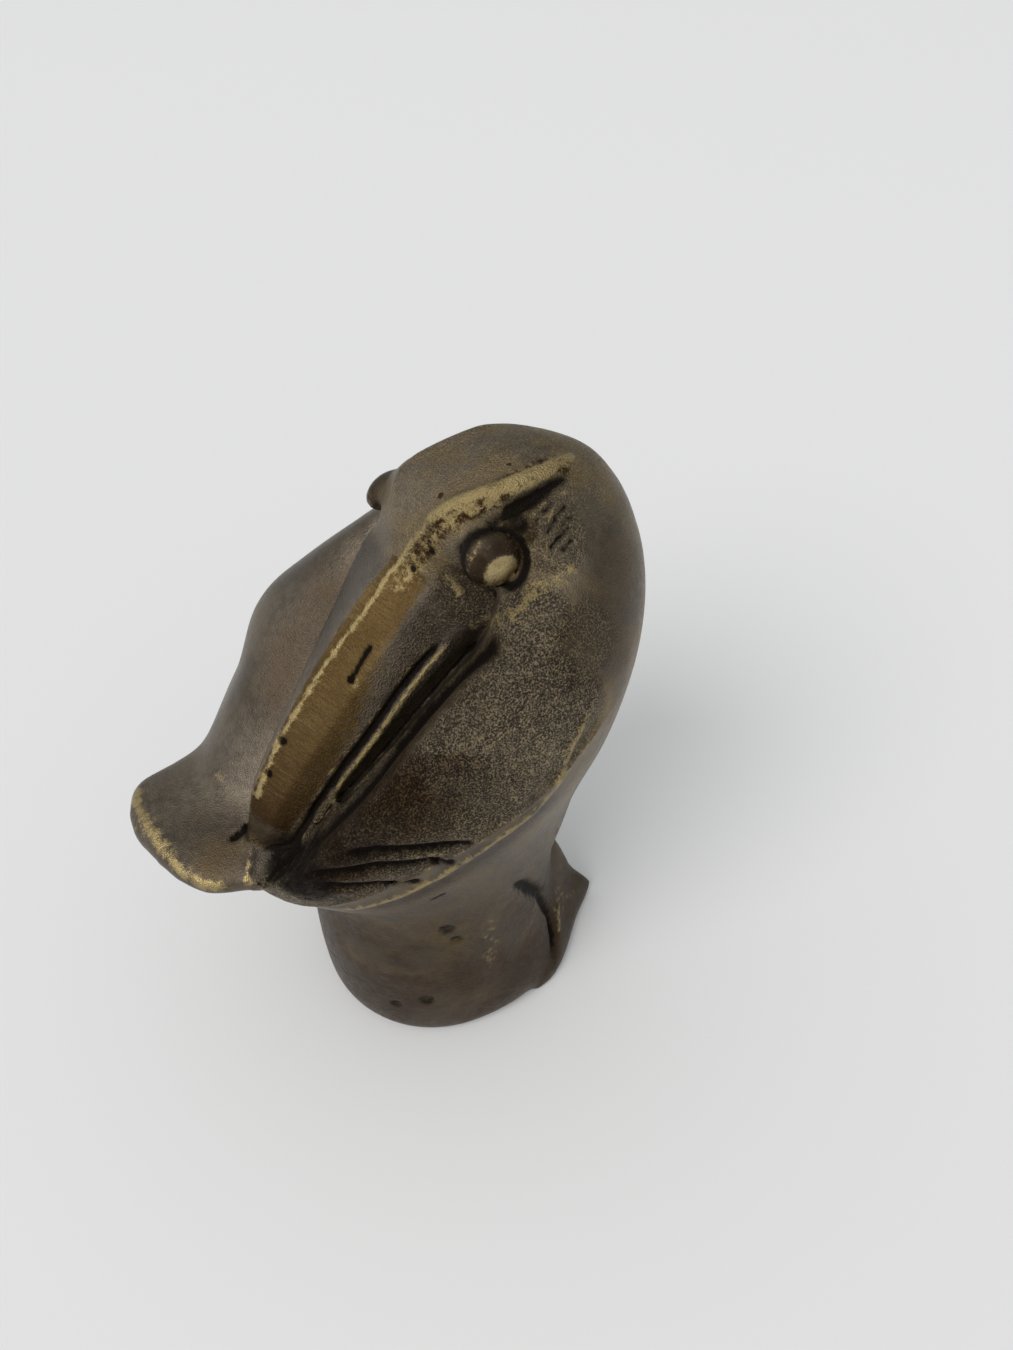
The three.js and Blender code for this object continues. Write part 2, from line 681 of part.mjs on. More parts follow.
function bodyCasting() {
  const core = trunkSolid(BELLY_SEAM - 6, NECK_TOP, 12, -WING_DEPTH - SEAT_GAP);
  const wingRoom = wingBlock(1, SEAT_GAP).add(wingBlock(-1, SEAT_GAP)).subtract(core);
  return trunkSolid(BELLY_SEAM + SEAT_GAP, NECK_TOP, 20, 0)
    .subtract(wingRoom)
    .subtract(trough)
    .subtract(tailRoom)
    .subtract(headRoom)
    .subtract(standSpigot(SEAT_GAP))
    .subtract(headSpigot(SEAT_GAP))
    .subtract(wingLugs(1, SEAT_GAP))
    .subtract(wingLugs(-1, SEAT_GAP));
}

function headCasting() {
  return headSolid(0)
    .add(browRidge(1, 0))
    .add(browRidge(-1, 0))
    .add(headSpigot(0))
    .subtract(browGroove(1))
    .subtract(browGroove(-1))
    .subtract(eyeSocket(1))
    .subtract(eyeSocket(-1))
    .subtract(eyePeg(1, SEAT_GAP))
    .subtract(eyePeg(-1, SEAT_GAP))
    .subtract(billLoft(-SEAT_GAP / BILL_LENGTH, 0.3, 2, () => {
      const far = HEAD_HALF_WIDTH * 2;
      return [[-far, -far], [far, -far], [far, far], [-far, far]];
    }))
    .subtract(billTenon(SEAT_GAP));
}

function standCasting() {
  return trunkSolid(0, BELLY_SEAM, 12, 0)
    .add(standSpigot(0))
    .subtract(footPeg(1, SEAT_GAP))
    .subtract(footPeg(-1, SEAT_GAP));
}

function foot(side) {
  const half = new THREE.BoxGeometry(TOE_REACH * 4, TOE_REACH * 2, FOOT_HEIGHT * 4);
  half.translate(0, side * (TOE_REACH + SEAT_GAP / 2), 0);
  const standRoom = trunkSolid(-1, BELLY_SEAM, 17, SEAT_GAP);
  return feetSolid().intersect(solid(half)).subtract(standRoom).add(footPeg(side, 0));
}

const upperBill = billLoft(0, 1, 18, upperBillRing).add(billTenon(0));
const lowerBill = billLoft(0, 0.985, 18, lowerBillRing);

addPiece('stand', standCasting(), BRASS);
addPiece('body', bodyCasting(), BRASS);
addPiece('left_wing', wing(1), BRASS);
addPiece('right_wing', wing(-1), BRASS);
addPiece('tail', tailSolid(0).subtract(billRoom), BRASS);
addPiece('head', headCasting(), BRASS);
addPiece('upper_bill', upperBill, BRASS);
addPiece('lower_bill', lowerBill, BRASS);
addPiece('left_eye', eyePeg(1, 0), WORN_BRASS);
addPiece('right_eye', eyePeg(-1, 0), WORN_BRASS);
addPiece('left_foot', foot(1), BRASS);
addPiece('right_foot', foot(-1), BRASS);

export default figure;
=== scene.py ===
"""Finished look of a small cast-brass pelican at rest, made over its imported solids.

The solids are fused into one cast surface, which is worked in millimetres like wax, marked by
the maker's tools and then parted again into the figure's own pieces.
"""

import logging
import math
from dataclasses import dataclass, field
from enum import Enum
from typing import Dict, List, Optional, Sequence, Tuple

import bmesh
import bpy
import numpy as np
from mathutils import Matrix, Vector
from mathutils.bvhtree import BVHTree

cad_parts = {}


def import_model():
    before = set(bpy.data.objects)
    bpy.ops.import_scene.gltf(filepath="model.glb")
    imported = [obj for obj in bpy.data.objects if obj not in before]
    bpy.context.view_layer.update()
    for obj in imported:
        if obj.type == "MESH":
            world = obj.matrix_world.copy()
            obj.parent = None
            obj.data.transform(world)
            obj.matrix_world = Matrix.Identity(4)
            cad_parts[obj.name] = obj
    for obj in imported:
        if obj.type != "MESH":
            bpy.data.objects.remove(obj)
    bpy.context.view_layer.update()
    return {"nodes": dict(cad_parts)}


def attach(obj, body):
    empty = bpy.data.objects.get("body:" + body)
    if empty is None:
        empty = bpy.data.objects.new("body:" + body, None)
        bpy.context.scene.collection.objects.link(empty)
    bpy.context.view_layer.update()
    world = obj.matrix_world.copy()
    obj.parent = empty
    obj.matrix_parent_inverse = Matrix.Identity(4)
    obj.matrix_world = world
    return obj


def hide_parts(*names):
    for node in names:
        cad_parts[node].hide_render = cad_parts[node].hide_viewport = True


LOG = logging.getLogger("pelican")
MM = 0.001
Point = Tuple[float, float, float]
Colour = Tuple[float, float, float]
Span = Tuple[float, float]
Table = Tuple[Span, ...]
Shares = Tuple[Tuple[str, float], ...]
Socket = bpy.types.NodeSocket
Solids = Dict[str, bpy.types.Object]


class Mark(Enum):
    """How a tool stroke meets the surface."""

    RIDGE = 1.0
    GROOVE = -1.0


class Mask(Enum):
    """Surface shares that the finishes read."""

    BRIGHT = "bright"
    DARK = "dark"
    SAND = "sand"
    FILED = "filed"
    WARM = "warm"
    # Painted shade, and thick patina: a share by which the finishes darken the colour.
    THICK = "thick"


@dataclass(frozen=True)
class Stroke:
    """A line that is raised from the surface or cut into it.

    The points are in millimetres, near the surface. Width is the half width of the line.
    """

    points: Tuple[Point, ...]
    mark: Mark
    width: float
    depth: float
    bright: float = 0.0
    dark: float = 0.0
    filed: float = 0.0
    thick: float = 0.0
    taper: float = 0.12


@dataclass(frozen=True)
class Swell:
    """A broad, soft move of the surface round one centre, in millimetres."""

    centre: Point
    radius: float
    move: Point


@dataclass(frozen=True)
class Soften:
    """A round area that is smoothed, in millimetres, and how many times it is."""

    centre: Point
    radius: float
    rounds: int


@dataclass(frozen=True)
class Spot:
    """A round mark on the surface: a rubbed patch, a stain, a patch of painted shade or a small
    pit, in millimetres.
    """

    centre: Point
    radius: float
    mask: Mask
    share: float
    sunk: float = 0.0


@dataclass(frozen=True)
class Scan:
    """One size of form at which edges shine and hollows gather dirt.

    Rounds is how much the surface is smoothed to find it; edge and hollow are heights in
    millimetres.
    """

    rounds: int
    edge: float
    hollow: float


@dataclass(frozen=True)
class BillFrame:
    """Place and directions of the bill as it lies along the back."""

    root: Point = (-1.8, 0.2, 83.0)
    drop: float = 50.0
    turn: float = 20.5
    roll: float = 10.0
    length: float = 42.0

    def axes(self) -> Tuple[Vector, Vector, Vector]:
        """Directions along the bill, across it towards the near wing and out from the back."""
        turn, drop = math.radians(self.turn), math.radians(self.drop)
        heading = Vector((-math.cos(turn), -math.sin(turn), 0.0))
        along = heading * math.cos(drop) - Vector((0.0, 0.0, math.sin(drop)))
        across = Vector((math.sin(turn), -math.cos(turn), 0.0))
        out = heading * math.sin(drop) + Vector((0.0, 0.0, math.cos(drop)))
        twist = Matrix.Rotation(math.radians(self.roll), 3, along)
        return along, twist @ across, twist @ out


def smooth_share(values: np.ndarray, low: float, high: float) -> np.ndarray:
    """Eases values from 0 at low to 1 at high.

    Args:
        values: Numbers to ease.
        low: Value at which the share is 0.
        high: Value at which the share is 1.

    Returns:
        Shares from 0 to 1.
    """
    share = np.clip((values - low) / (high - low), 0.0, 1.0)
    return share * share * (3.0 - 2.0 * share)


class CastingSkin:
    """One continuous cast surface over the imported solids, worked in millimetres.

    WELD is in metres and STEP is the share of one smoothing round. A FLAT is the share of a radius
    that is worked at full strength, and a SPAN is in shares of a scan's height.
    """

    WELD = 1e-6
    STEP = 0.5
    EDGE_ROUNDS = 4
    BLOCK = 3000
    STROKE_REACH = 2.6
    STROKE_END = -0.02
    SOFT_FLAT = 0.5
    SPOT_FLAT = 0.55
    SCANS = (Scan(5, 0.055, 0.05), Scan(45, 0.34, 0.28))
    SCAN_ROUNDS = 2
    EDGE_SPAN: Span = (0.45, 1.6)
    HOLLOW_SPAN: Span = (0.5, 2.2)
    RUB, RUB_HELD, DIRT = 0.75, 0.75, 0.7

    def __init__(self, nodes: Solids, voxel: float, lap: float) -> None:
        """Fuses the solids.

        Args:
            nodes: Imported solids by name.
            voxel: Grain of the fused surface in millimetres.
            lap: How far each solid is grown so that neighbours fuse, in millimetres.
        """
        self.names: List[str] = sorted(nodes)
        self.mesh = self._fuse(nodes, voxel, lap)
        count = len(self.mesh.vertices)
        flat = np.empty(count * 3, dtype=np.float64)
        self.mesh.vertices.foreach_get("co", flat)
        self.points = flat.reshape(-1, 3) / MM
        pairs = np.empty(len(self.mesh.edges) * 2, dtype=np.int32)
        self.mesh.edges.foreach_get("vertices", pairs)
        self.edges = pairs.reshape(-1, 2)
        self.valence = np.bincount(pairs, minlength=count).astype(float)
        self.owner = self._owners(nodes)
        self.masks: Dict[Mask, np.ndarray] = {mask: np.zeros(count) for mask in Mask}
        self.search: Optional[BVHTree] = None

    def _fuse(self, nodes: Solids, voxel: float, lap: float) -> bpy.types.Mesh:
        """Grows the solids over their seats and joins them into one closed surface.

        Args:
            nodes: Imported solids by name.
            voxel: Grain of the fused surface in millimetres.
            lap: Growth of each solid in millimetres.

        Returns:
            The fused mesh.
        """
        form = bmesh.new()
        for node in nodes.values():
            form.from_mesh(node.data)
        bmesh.ops.remove_doubles(form, verts=form.verts, dist=self.WELD)
        form.normal_update()
        for vert in form.verts:
            vert.co += vert.normal * lap * MM
        rough = bpy.data.meshes.new("rough_skin")
        form.to_mesh(rough)
        form.free()
        holder = bpy.data.objects.new("rough_skin", rough)
        bpy.context.collection.objects.link(holder)
        fuse = holder.modifiers.new("Fuse", "REMESH")
        fuse.mode = "VOXEL"
        fuse.voxel_size = voxel * MM
        graph = bpy.context.evaluated_depsgraph_get()
        fused = bpy.data.meshes.new_from_object(holder.evaluated_get(graph))
        bpy.data.objects.remove(holder)
        bpy.data.meshes.remove(rough)
        self._keep_largest(fused)
        return fused

    @staticmethod
    def _keep_largest(mesh: bpy.types.Mesh) -> None:
        """Removes everything but the largest connected surface of a mesh."""
        count = len(mesh.vertices)
        pairs = np.empty(len(mesh.edges) * 2, dtype=np.int32)
        mesh.edges.foreach_get("vertices", pairs)
        first, second = pairs.reshape(-1, 2).T
        island = np.arange(count)
        while True:
            lowest = np.minimum(island[first], island[second])
            joined = island.copy()
            np.minimum.at(joined, first, lowest)
            np.minimum.at(joined, second, lowest)
            joined = joined[joined]
            if np.array_equal(joined, island):
                break
            island = joined
        keep = np.bincount(island).argmax()
        form = bmesh.new()
        form.from_mesh(mesh)
        loose = [vert for vert, place in zip(form.verts, island) if place != keep]
        bmesh.ops.delete(form, geom=loose, context="VERTS")
        form.to_mesh(mesh)
        form.free()

    def _owners(self, nodes: Solids) -> np.ndarray:
        """Finds the solid nearest to each point.

        Args:
            nodes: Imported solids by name.

        Returns:
            Index into the names for each point.
        """
        corners: List[Vector] = []
        faces: List[Sequence[int]] = []
        belongs: List[int] = []
        for index, name in enumerate(self.names):
            start = len(corners)
            mesh = nodes[name].data
            corners.extend(vert.co / MM for vert in mesh.vertices)
            faces.extend([start + k for k in face.vertices] for face in mesh.polygons)
            belongs.extend([index] * len(mesh.polygons))
        tree = BVHTree.FromPolygons(corners, faces)
        return np.array([belongs[tree.find_nearest(point)[2]] for point in self.points])

    def normals(self) -> np.ndarray:
        """Unit directions out of the surface at each point."""
        self.mesh.vertices.foreach_set("co", (self.points * MM).ravel())
        self.mesh.update()
        flat = np.empty(len(self.points) * 3, dtype=np.float64)
        self.mesh.vertex_normals.foreach_get("vector", flat)
        return flat.reshape(-1, 3)

    def neighbours(self, values: np.ndarray) -> np.ndarray:
        """Mean of a value over the points joined to each point."""
        first, second = self.edges.T
        count = len(self.points)
        total = np.bincount(first, values[second], count)
        total += np.bincount(second, values[first], count)
        return total / self.valence

    def blur(self, values: np.ndarray, rounds: int) -> np.ndarray:
        """Spreads a value over the surface.

        Args:
            values: One number for each point.
            rounds: How many times it is spread.

        Returns:
            The spread numbers.
        """
        spread = values.astype(float)
        for _ in range(rounds):
            spread = (1.0 - self.STEP) * spread + self.STEP * self.neighbours(spread)
        return spread

    def relaxed(self, weight: np.ndarray, rounds: int) -> np.ndarray:
        """Places of the points after smoothing.

        Args:
            weight: Share of the smoothing for each point.
            rounds: How many times the surface is smoothed.

        Returns:
            The smoothed places.
        """
        places = self.points.copy()
        moving = np.nonzero(weight > 0.001)[0]
        local = np.full(len(places), -1)
        local[moving] = np.arange(len(moving))
        ends = np.concatenate([self.edges, self.edges[:, ::-1]])
        ends = ends[local[ends[:, 0]] >= 0]
        here, there = local[ends[:, 0]], ends[:, 1]
        share = self.STEP * weight[moving]
        for _ in range(rounds):
            for axis in range(3):
                mean = np.bincount(here, places[there, axis], len(moving)) / self.valence[moving]
                places[moving, axis] += share * (mean - places[moving, axis])
        return places

    def relax(self, weight: np.ndarray, rounds: int) -> None:
        """Smooths the surface by weight."""
        self.points = self.relaxed(weight, rounds)
        self.search = None

    def soften(self, area: Soften, hold: np.ndarray) -> None:
        """Smooths the surface round one place.

        Args:
            area: The smoothed area.
            hold: Share by which each point is held back.
        """
        gaps = self.gaps(area.centre)
        share = 1.0 - smooth_share(gaps, area.radius * self.SOFT_FLAT, area.radius)
        self.relax((1.0 - hold) * share, area.rounds)

    def gaps(self, place: Point) -> np.ndarray:
        """Distance of each point from one place."""
        return np.linalg.norm(self.points - np.array(place), axis=1)

    def on(self, *names: str) -> np.ndarray:
        """1 at the points of the named pieces and 0 elsewhere."""
        wanted = [self.names.index(name) for name in names]
        return np.isin(self.owner, wanted).astype(float)

    def cover(self, shares: Shares) -> np.ndarray:
        """Share that each point gets from its piece."""
        return sum(share * self.on(name) for name, share in shares)

    def edged(self, *names: str) -> np.ndarray:
        """1 at the points of the named pieces, eased to 0 over their edges."""
        return self.blur(self.on(*names), self.EDGE_ROUNDS)

    def line(self, points: Sequence[Point], step: float = 0.3) -> np.ndarray:
        """Sets a line of points on to the surface.

        Args:
            points: Corners of the line, near the surface.
            step: Distance between the points of the result.

        Returns:
            Points along the line, each on the surface.
        """
        corners = np.array(points, dtype=float)
        legs = np.linalg.norm(np.diff(corners, axis=0), axis=1)
        places = np.concatenate([[0.0], np.cumsum(legs)])
        at = np.linspace(0.0, places[-1], max(int(places[-1] / step), 2))
        dense = np.stack([np.interp(at, places, corners[:, axis]) for axis in range(3)], axis=1)
        tree = self.tree()
        return np.array([tree.find_nearest(point)[0] for point in dense])

    def tree(self) -> BVHTree:
        """Search tree over the surface after its last broad change."""
        if self.search is None:
            faces = [tuple(face.vertices) for face in self.mesh.polygons]
            self.search = BVHTree.FromPolygons(self.points.tolist(), faces)
        return self.search

    @classmethod
    def nearest(cls, points: np.ndarray, line: np.ndarray) -> Tuple[np.ndarray, np.ndarray]:
        """Distance of points from a line and their place along it.

        Args:
            points: Points to measure.
            line: Close points along the line.

        Returns:
            Distances, and places from 0 at the start of the line to 1 at its end.
        """
        gaps = np.empty(len(points))
        places = np.empty(len(points))
        for start in range(0, len(points), cls.BLOCK):
            block = slice(start, start + cls.BLOCK)
            apart = np.linalg.norm(points[block, None, :] - line[None, :, :], axis=2)
            gaps[block] = apart.min(axis=1)
            places[block] = apart.argmin(axis=1) / (len(line) - 1)
        return gaps, places

    def profile(self, line: np.ndarray, width: float,
                taper: float) -> Tuple[np.ndarray, np.ndarray]:
        """Strength of a line at the points near it.

        Args:
            line: Close points along the line.
            width: Half width of the line.
            taper: Share of the line over which each end fades.

        Returns:
            Indices of the points near the line, and their strengths.
        """
        reach = width * self.STROKE_REACH
        low, high = line.min(axis=0) - reach, line.max(axis=0) + reach
        inside = np.all((self.points > low) & (self.points < high), axis=1)
        near = np.nonzero(inside)[0]
        gaps, places = self.nearest(self.points[near], line)
        strength = np.exp(-((gaps / width) ** 2))
        if taper > 0.0:
            strength *= smooth_share(np.minimum(places, 1.0 - places), self.STROKE_END, taper)
        return near, strength

    def stroke(self, stroke: Stroke) -> None:
        """Raises or cuts one line and notes its shine, its dirt and the painted shade that it lays.
        """
        line = self.line(stroke.points)
        near, strength = self.profile(line, stroke.width, stroke.taper)
        normals = self.normals()[near]
        self.points[near] += normals * (stroke.mark.value * stroke.depth * strength)[:, None]
        for mask in (Mask.BRIGHT, Mask.DARK, Mask.FILED, Mask.THICK):
            self.note(mask, near, getattr(stroke, mask.value) * strength)

    def note(self, mask: Mask, near: np.ndarray, values: np.ndarray) -> None:
        """Raises a mask to the given values where it is lower."""
        self.masks[mask][near] = np.maximum(self.masks[mask][near], values)

    def swell(self, swell: Swell) -> None:
        """Moves the surface softly round one centre."""
        strength = 1.0 - smooth_share(self.gaps(swell.centre), 0.0, swell.radius)
        self.points += strength[:, None] * np.array(swell.move)
        self.search = None

    def spot(self, spot: Spot) -> None:
        """Marks one round place and sinks it if it is a pit."""
        gaps = self.gaps(spot.centre)
        near = np.nonzero(gaps < spot.radius)[0]
        strength = 1.0 - smooth_share(gaps[near], spot.radius * self.SPOT_FLAT, spot.radius)
        self.note(spot.mask, near, spot.share * strength)
        if spot.sunk:
            self.points[near] -= self.normals()[near] * (spot.sunk * strength)[:, None]

    def stain(self, mask: Mask, values: np.ndarray) -> None:
        """Raises a mask to the given values over the whole surface."""
        self.masks[mask] = np.maximum(self.masks[mask], values)

    def weather(self) -> None:
        """Notes shine on what stands out, less under painted shade and thick patina, and dirt in
        what lies deep.
        """
        everywhere = np.ones(len(self.points))
        normals = self.normals()
        rub = self.RUB * (1.0 - self.RUB_HELD * self.masks[Mask.THICK])
        for scan in self.SCANS:
            above = self.points - self.relaxed(everywhere, scan.rounds)
            stand = self.blur(np.einsum("ij,ij->i", above, normals), self.SCAN_ROUNDS)
            edge = smooth_share(stand, *(scan.edge * share for share in self.EDGE_SPAN))
            hollow = smooth_share(-stand, *(scan.hollow * share for share in self.HOLLOW_SPAN))
            self.masks[Mask.BRIGHT] += rub * edge
            self.masks[Mask.DARK] += self.DIRT * hollow
        for mask in Mask:
            self.masks[mask] = np.clip(self.masks[mask], 0.0, 1.0)

    def settle(self) -> None:
        """Stands the skin on the floor and writes places, masks and owners to the mesh."""
        self.points[:, 2] = np.maximum(self.points[:, 2], 0.0)
        self.normals()
        for mask, values in self.masks.items():
            layer = self.mesh.attributes.new(mask.value, "FLOAT", "POINT")
            layer.data.foreach_set("value", values.astype(np.float32))
        owners = [self.owner[face.vertices[0]] for face in self.mesh.polygons]
        faces = np.array(owners, dtype=np.int32)
        self.mesh.attributes.new("owner", "INT", "FACE").data.foreach_set("value", faces)
        self.mesh.polygons.foreach_set("use_smooth", np.ones(len(faces), dtype=bool))

    def piece(self, node: str, wall: float) -> bpy.types.Object:
        """Parts one piece from the skin and gives it a wall.

        Args:
            node: Name of the solid that the piece stands for.
            wall: Thickness of the wall in millimetres.

        Returns:
            The new object.
        """
        form = bmesh.new()
        form.from_mesh(self.mesh)
        owner = form.faces.layers.int["owner"]
        wanted = self.names.index(node)
        others = [face for face in form.faces if face[owner] != wanted]
        bmesh.ops.delete(form, geom=others, context="FACES")
        for edge in form.edges:
            edge.smooth = not edge.is_boundary
        mesh = bpy.data.meshes.new(f"{node}_cast")
        form.to_mesh(mesh)
        form.free()
        piece = bpy.data.objects.new(f"{node}_cast", mesh)
        bpy.context.collection.objects.link(piece)
        shell = piece.modifiers.new("Wall", "SOLIDIFY")
        shell.thickness = wall * MM
        shell.offset = -1.0
        return piece


class ShaderBench:
    """Lays out the nodes of one shader tree."""

    def __init__(self, tree: bpy.types.NodeTree) -> None:
        """Takes the tree to fill."""
        self.tree = tree

    def feed(self, socket: Socket, value: object) -> None:
        """Links a socket to another or sets its value."""
        if isinstance(value, Socket):
            self.tree.links.new(value, socket)
        elif isinstance(value, tuple) and socket.type == "RGBA" and len(value) == 3:
            socket.default_value = (*value, 1.0)
        else:
            socket.default_value = value

    def node(self, kind: str, sockets: Optional[Dict[str, object]] = None,
             **settings: object) -> bpy.types.Node:
        """Adds one node.

        Args:
            kind: Type of the node.
            sockets: Values or links for its inputs, by name.
            settings: Its other settings.

        Returns:
            The new node.
        """
        made = self.tree.nodes.new(kind)
        for name, value in settings.items():
            setattr(made, name, value)
        for name, value in (sockets or {}).items():
            self.feed(made.inputs[name], value)
        return made

    def maths(self, operation: str, *values: object, clamp: bool = False) -> Socket:
        """Adds one sum and returns its result.

        Args:
            operation: Name of the sum.
            values: Its numbers or links.
            clamp: Whether the result stays from 0 to 1.

        Returns:
            The result.
        """
        made = self.node("ShaderNodeMath", operation=operation, use_clamp=clamp)
        for socket, value in zip(made.inputs, values):
            self.feed(socket, value)
        return made.outputs[0]

    def times(self, first: object, second: object) -> Socket:
        """Product of two values."""
        return self.maths("MULTIPLY", first, second)

    def plus(self, base: object, value: object, share: object) -> Socket:
        """A base value with a share of another added."""
        return self.maths("MULTIPLY_ADD", value, share, base)

    def sway(self, base: object, value: object, share: float) -> Socket:
        """A base value that is raised and lowered by a cloudy one."""
        return self.plus(base, self.maths("SUBTRACT", value, 0.5), share)

    def ease(self, value: object, span: Span) -> Socket:
        """Share from 0 at the start of a span to 1 at its end, eased at both ends."""
        sockets = {"Value": value, "From Min": span[0], "From Max": span[1]}
        made = self.node("ShaderNodeMapRange", sockets, interpolation_type="SMOOTHSTEP")
        return made.outputs["Result"]

    def tint(self, share: object, first: object, second: object, blend: str = "MIX") -> Socket:
        """Colour between two colours, or the first darkened by the second."""
        made = self.node("ShaderNodeMix", data_type="RGBA", blend_type=blend)
        self.feed(made.inputs["Factor"], share)
        self.feed(made.inputs[6], first)
        self.feed(made.inputs[7], second)
        return made.outputs[2]

    def noise(self, vector: object, scale: object, detail: float, rough: float) -> Socket:
        """Cloudy value over the surface."""
        sockets = {"Vector": vector, "Scale": scale, "Detail": detail, "Roughness": rough}
        return self.node("ShaderNodeTexNoise", sockets).outputs["Fac"]

    def mask(self, mask: Mask) -> Socket:
        """Share that the surface carries."""
        return self.node("ShaderNodeAttribute", attribute_name=mask.value).outputs["Fac"]


class EffectGroup:
    """A shader effect that several finishes share."""

    def __init__(self, name: str, inputs: Dict[str, float], outputs: Sequence[str]) -> None:
        """Makes the empty group.

        Args:
            name: Name of the group.
            inputs: Number inputs with their starting values.
            outputs: Number outputs.
        """
        self.tree = bpy.data.node_groups.new(name, "ShaderNodeTree")
        face = self.tree.interface
        face.new_socket(name="Vector", in_out="INPUT", socket_type="NodeSocketVector")
        for label, value in inputs.items():
            socket = face.new_socket(name=label, in_out="INPUT", socket_type="NodeSocketFloat")
            socket.default_value = value
        for label in outputs:
            face.new_socket(name=label, in_out="OUTPUT", socket_type="NodeSocketFloat")
        self.bench = ShaderBench(self.tree)
        self.source = self.bench.node("NodeGroupInput").outputs
        self.result = self.bench.node("NodeGroupOutput").inputs

    def give(self, **results: Socket) -> None:
        """Links the named results to the group's outputs."""
        for label, value in results.items():
            self.bench.feed(self.result[label], value)


class Effects:
    """The shared surface effects of old cast brass."""

    def __init__(self) -> None:
        """Builds each effect once."""
        self.trees = (self._patina(), self._sand(), self._files(), self._pits())

    @staticmethod
    def _patina() -> bpy.types.NodeTree:
        """Cloudy brown patina with finer flecks and a polished grain."""
        group = EffectGroup("Patina", {"Cloud Scale": 95.0, "Fleck Scale": 900.0},
                            ("Cloud", "Blotch", "Fleck", "Grain"))
        bench, source = group.bench, group.source
        place, broad, small = source["Vector"], source["Cloud Scale"], source["Fleck Scale"]
        group.give(
            Cloud=bench.ease(bench.noise(place, broad, 4.0, 0.6), (0.34, 0.66)),
            Blotch=bench.ease(bench.noise(place, bench.times(broad, 1.9), 3.0, 0.55), (0.4, 0.6)),
            Fleck=bench.ease(bench.noise(place, small, 5.0, 0.65), (0.36, 0.66)),
            Grain=bench.noise(place, bench.times(small, 5.0), 3.0, 0.7),
        )
        return group.tree

    @staticmethod
    def _sand() -> bpy.types.NodeTree:
        """Rough grain that moulding sand leaves: small bumps with dark hollows, and tops that the
        finishes paint bright as highlights.
        """
        group = EffectGroup("Sand grain", {"Grain Scale": 4500.0}, ("Height", "Glint", "Hollow"))
        bench, source = group.bench, group.source
        place, scale = source["Vector"], source["Grain Scale"]
        fine = bench.noise(place, scale, 2.0, 0.6)
        clump = bench.noise(place, bench.times(scale, 0.16), 3.0, 0.6)
        height = bench.maths("ADD", bench.times(fine, 0.8), bench.times(clump, 0.2))
        # Glint marks the grain tops for a painted highlight.
        group.give(Height=height, Glint=bench.ease(height, (0.53, 0.64)),
                   Hollow=bench.ease(height, (0.48, 0.37)))
        return group.tree

    @staticmethod
    def _files() -> bpy.types.NodeTree:
        """Fine strokes that a file leaves across the bill."""
        group = EffectGroup("File strokes", {"Stroke Scale": 4200.0}, ("Stroke",))
        bench, source = group.bench, group.source
        along, across, out = BillFrame().axes()
        parts = []
        for axis, stretch in ((along, 1.0), (across, 0.09), (out, 0.09)):
            dot = bench.node("ShaderNodeVectorMath", operation="DOT_PRODUCT")
            bench.feed(dot.inputs[0], source["Vector"])
            dot.inputs[1].default_value = axis * stretch
            parts.append(dot.outputs["Value"])
        place = bench.node("ShaderNodeCombineXYZ", dict(zip("XYZ", parts))).outputs["Vector"]
        group.give(Stroke=bench.noise(place, source["Stroke Scale"], 4.0, 0.65))
        return group.tree

    @staticmethod
    def _pits() -> bpy.types.NodeTree:
        """Scattered small casting pits."""
        group = EffectGroup("Casting pits", {"Pit Scale": 260.0, "Pit Share": 0.2}, ("Pit",))
        bench, source = group.bench, group.source
        bent = bench.node("ShaderNodeTexNoise", {"Vector": source["Vector"], "Scale": 700.0})
        shift = bench.node("ShaderNodeVectorMath", operation="SCALE")
        bench.feed(shift.inputs[0], bent.outputs["Color"])
        shift.inputs["Scale"].default_value = 0.0006
        place = bench.node("ShaderNodeVectorMath", operation="ADD")
        bench.feed(place.inputs[0], source["Vector"])
        bench.feed(place.inputs[1], shift.outputs[0])
        sockets = {"Vector": place.outputs[0], "Scale": source["Pit Scale"]}
        cells = bench.node("ShaderNodeTexVoronoi", sockets)
        pick = bench.node("ShaderNodeSeparateColor", {"Color": cells.outputs["Color"]})
        chosen = bench.maths("LESS_THAN", pick.outputs[0], source["Pit Share"])
        size = bench.plus(0.05, pick.outputs[1], 0.12)
        inside = bench.maths("SUBTRACT", size, cells.outputs["Distance"])
        group.give(Pit=bench.times(chosen, bench.ease(inside, (0.0, 0.05))))
        return group.tree


@dataclass(frozen=True)
class Surface:
    """What one material reads of the surface: results of the effects by name, and the masks."""

    bench: ShaderBench
    effects: Dict[str, Socket]
    masks: Dict[Mask, Socket]


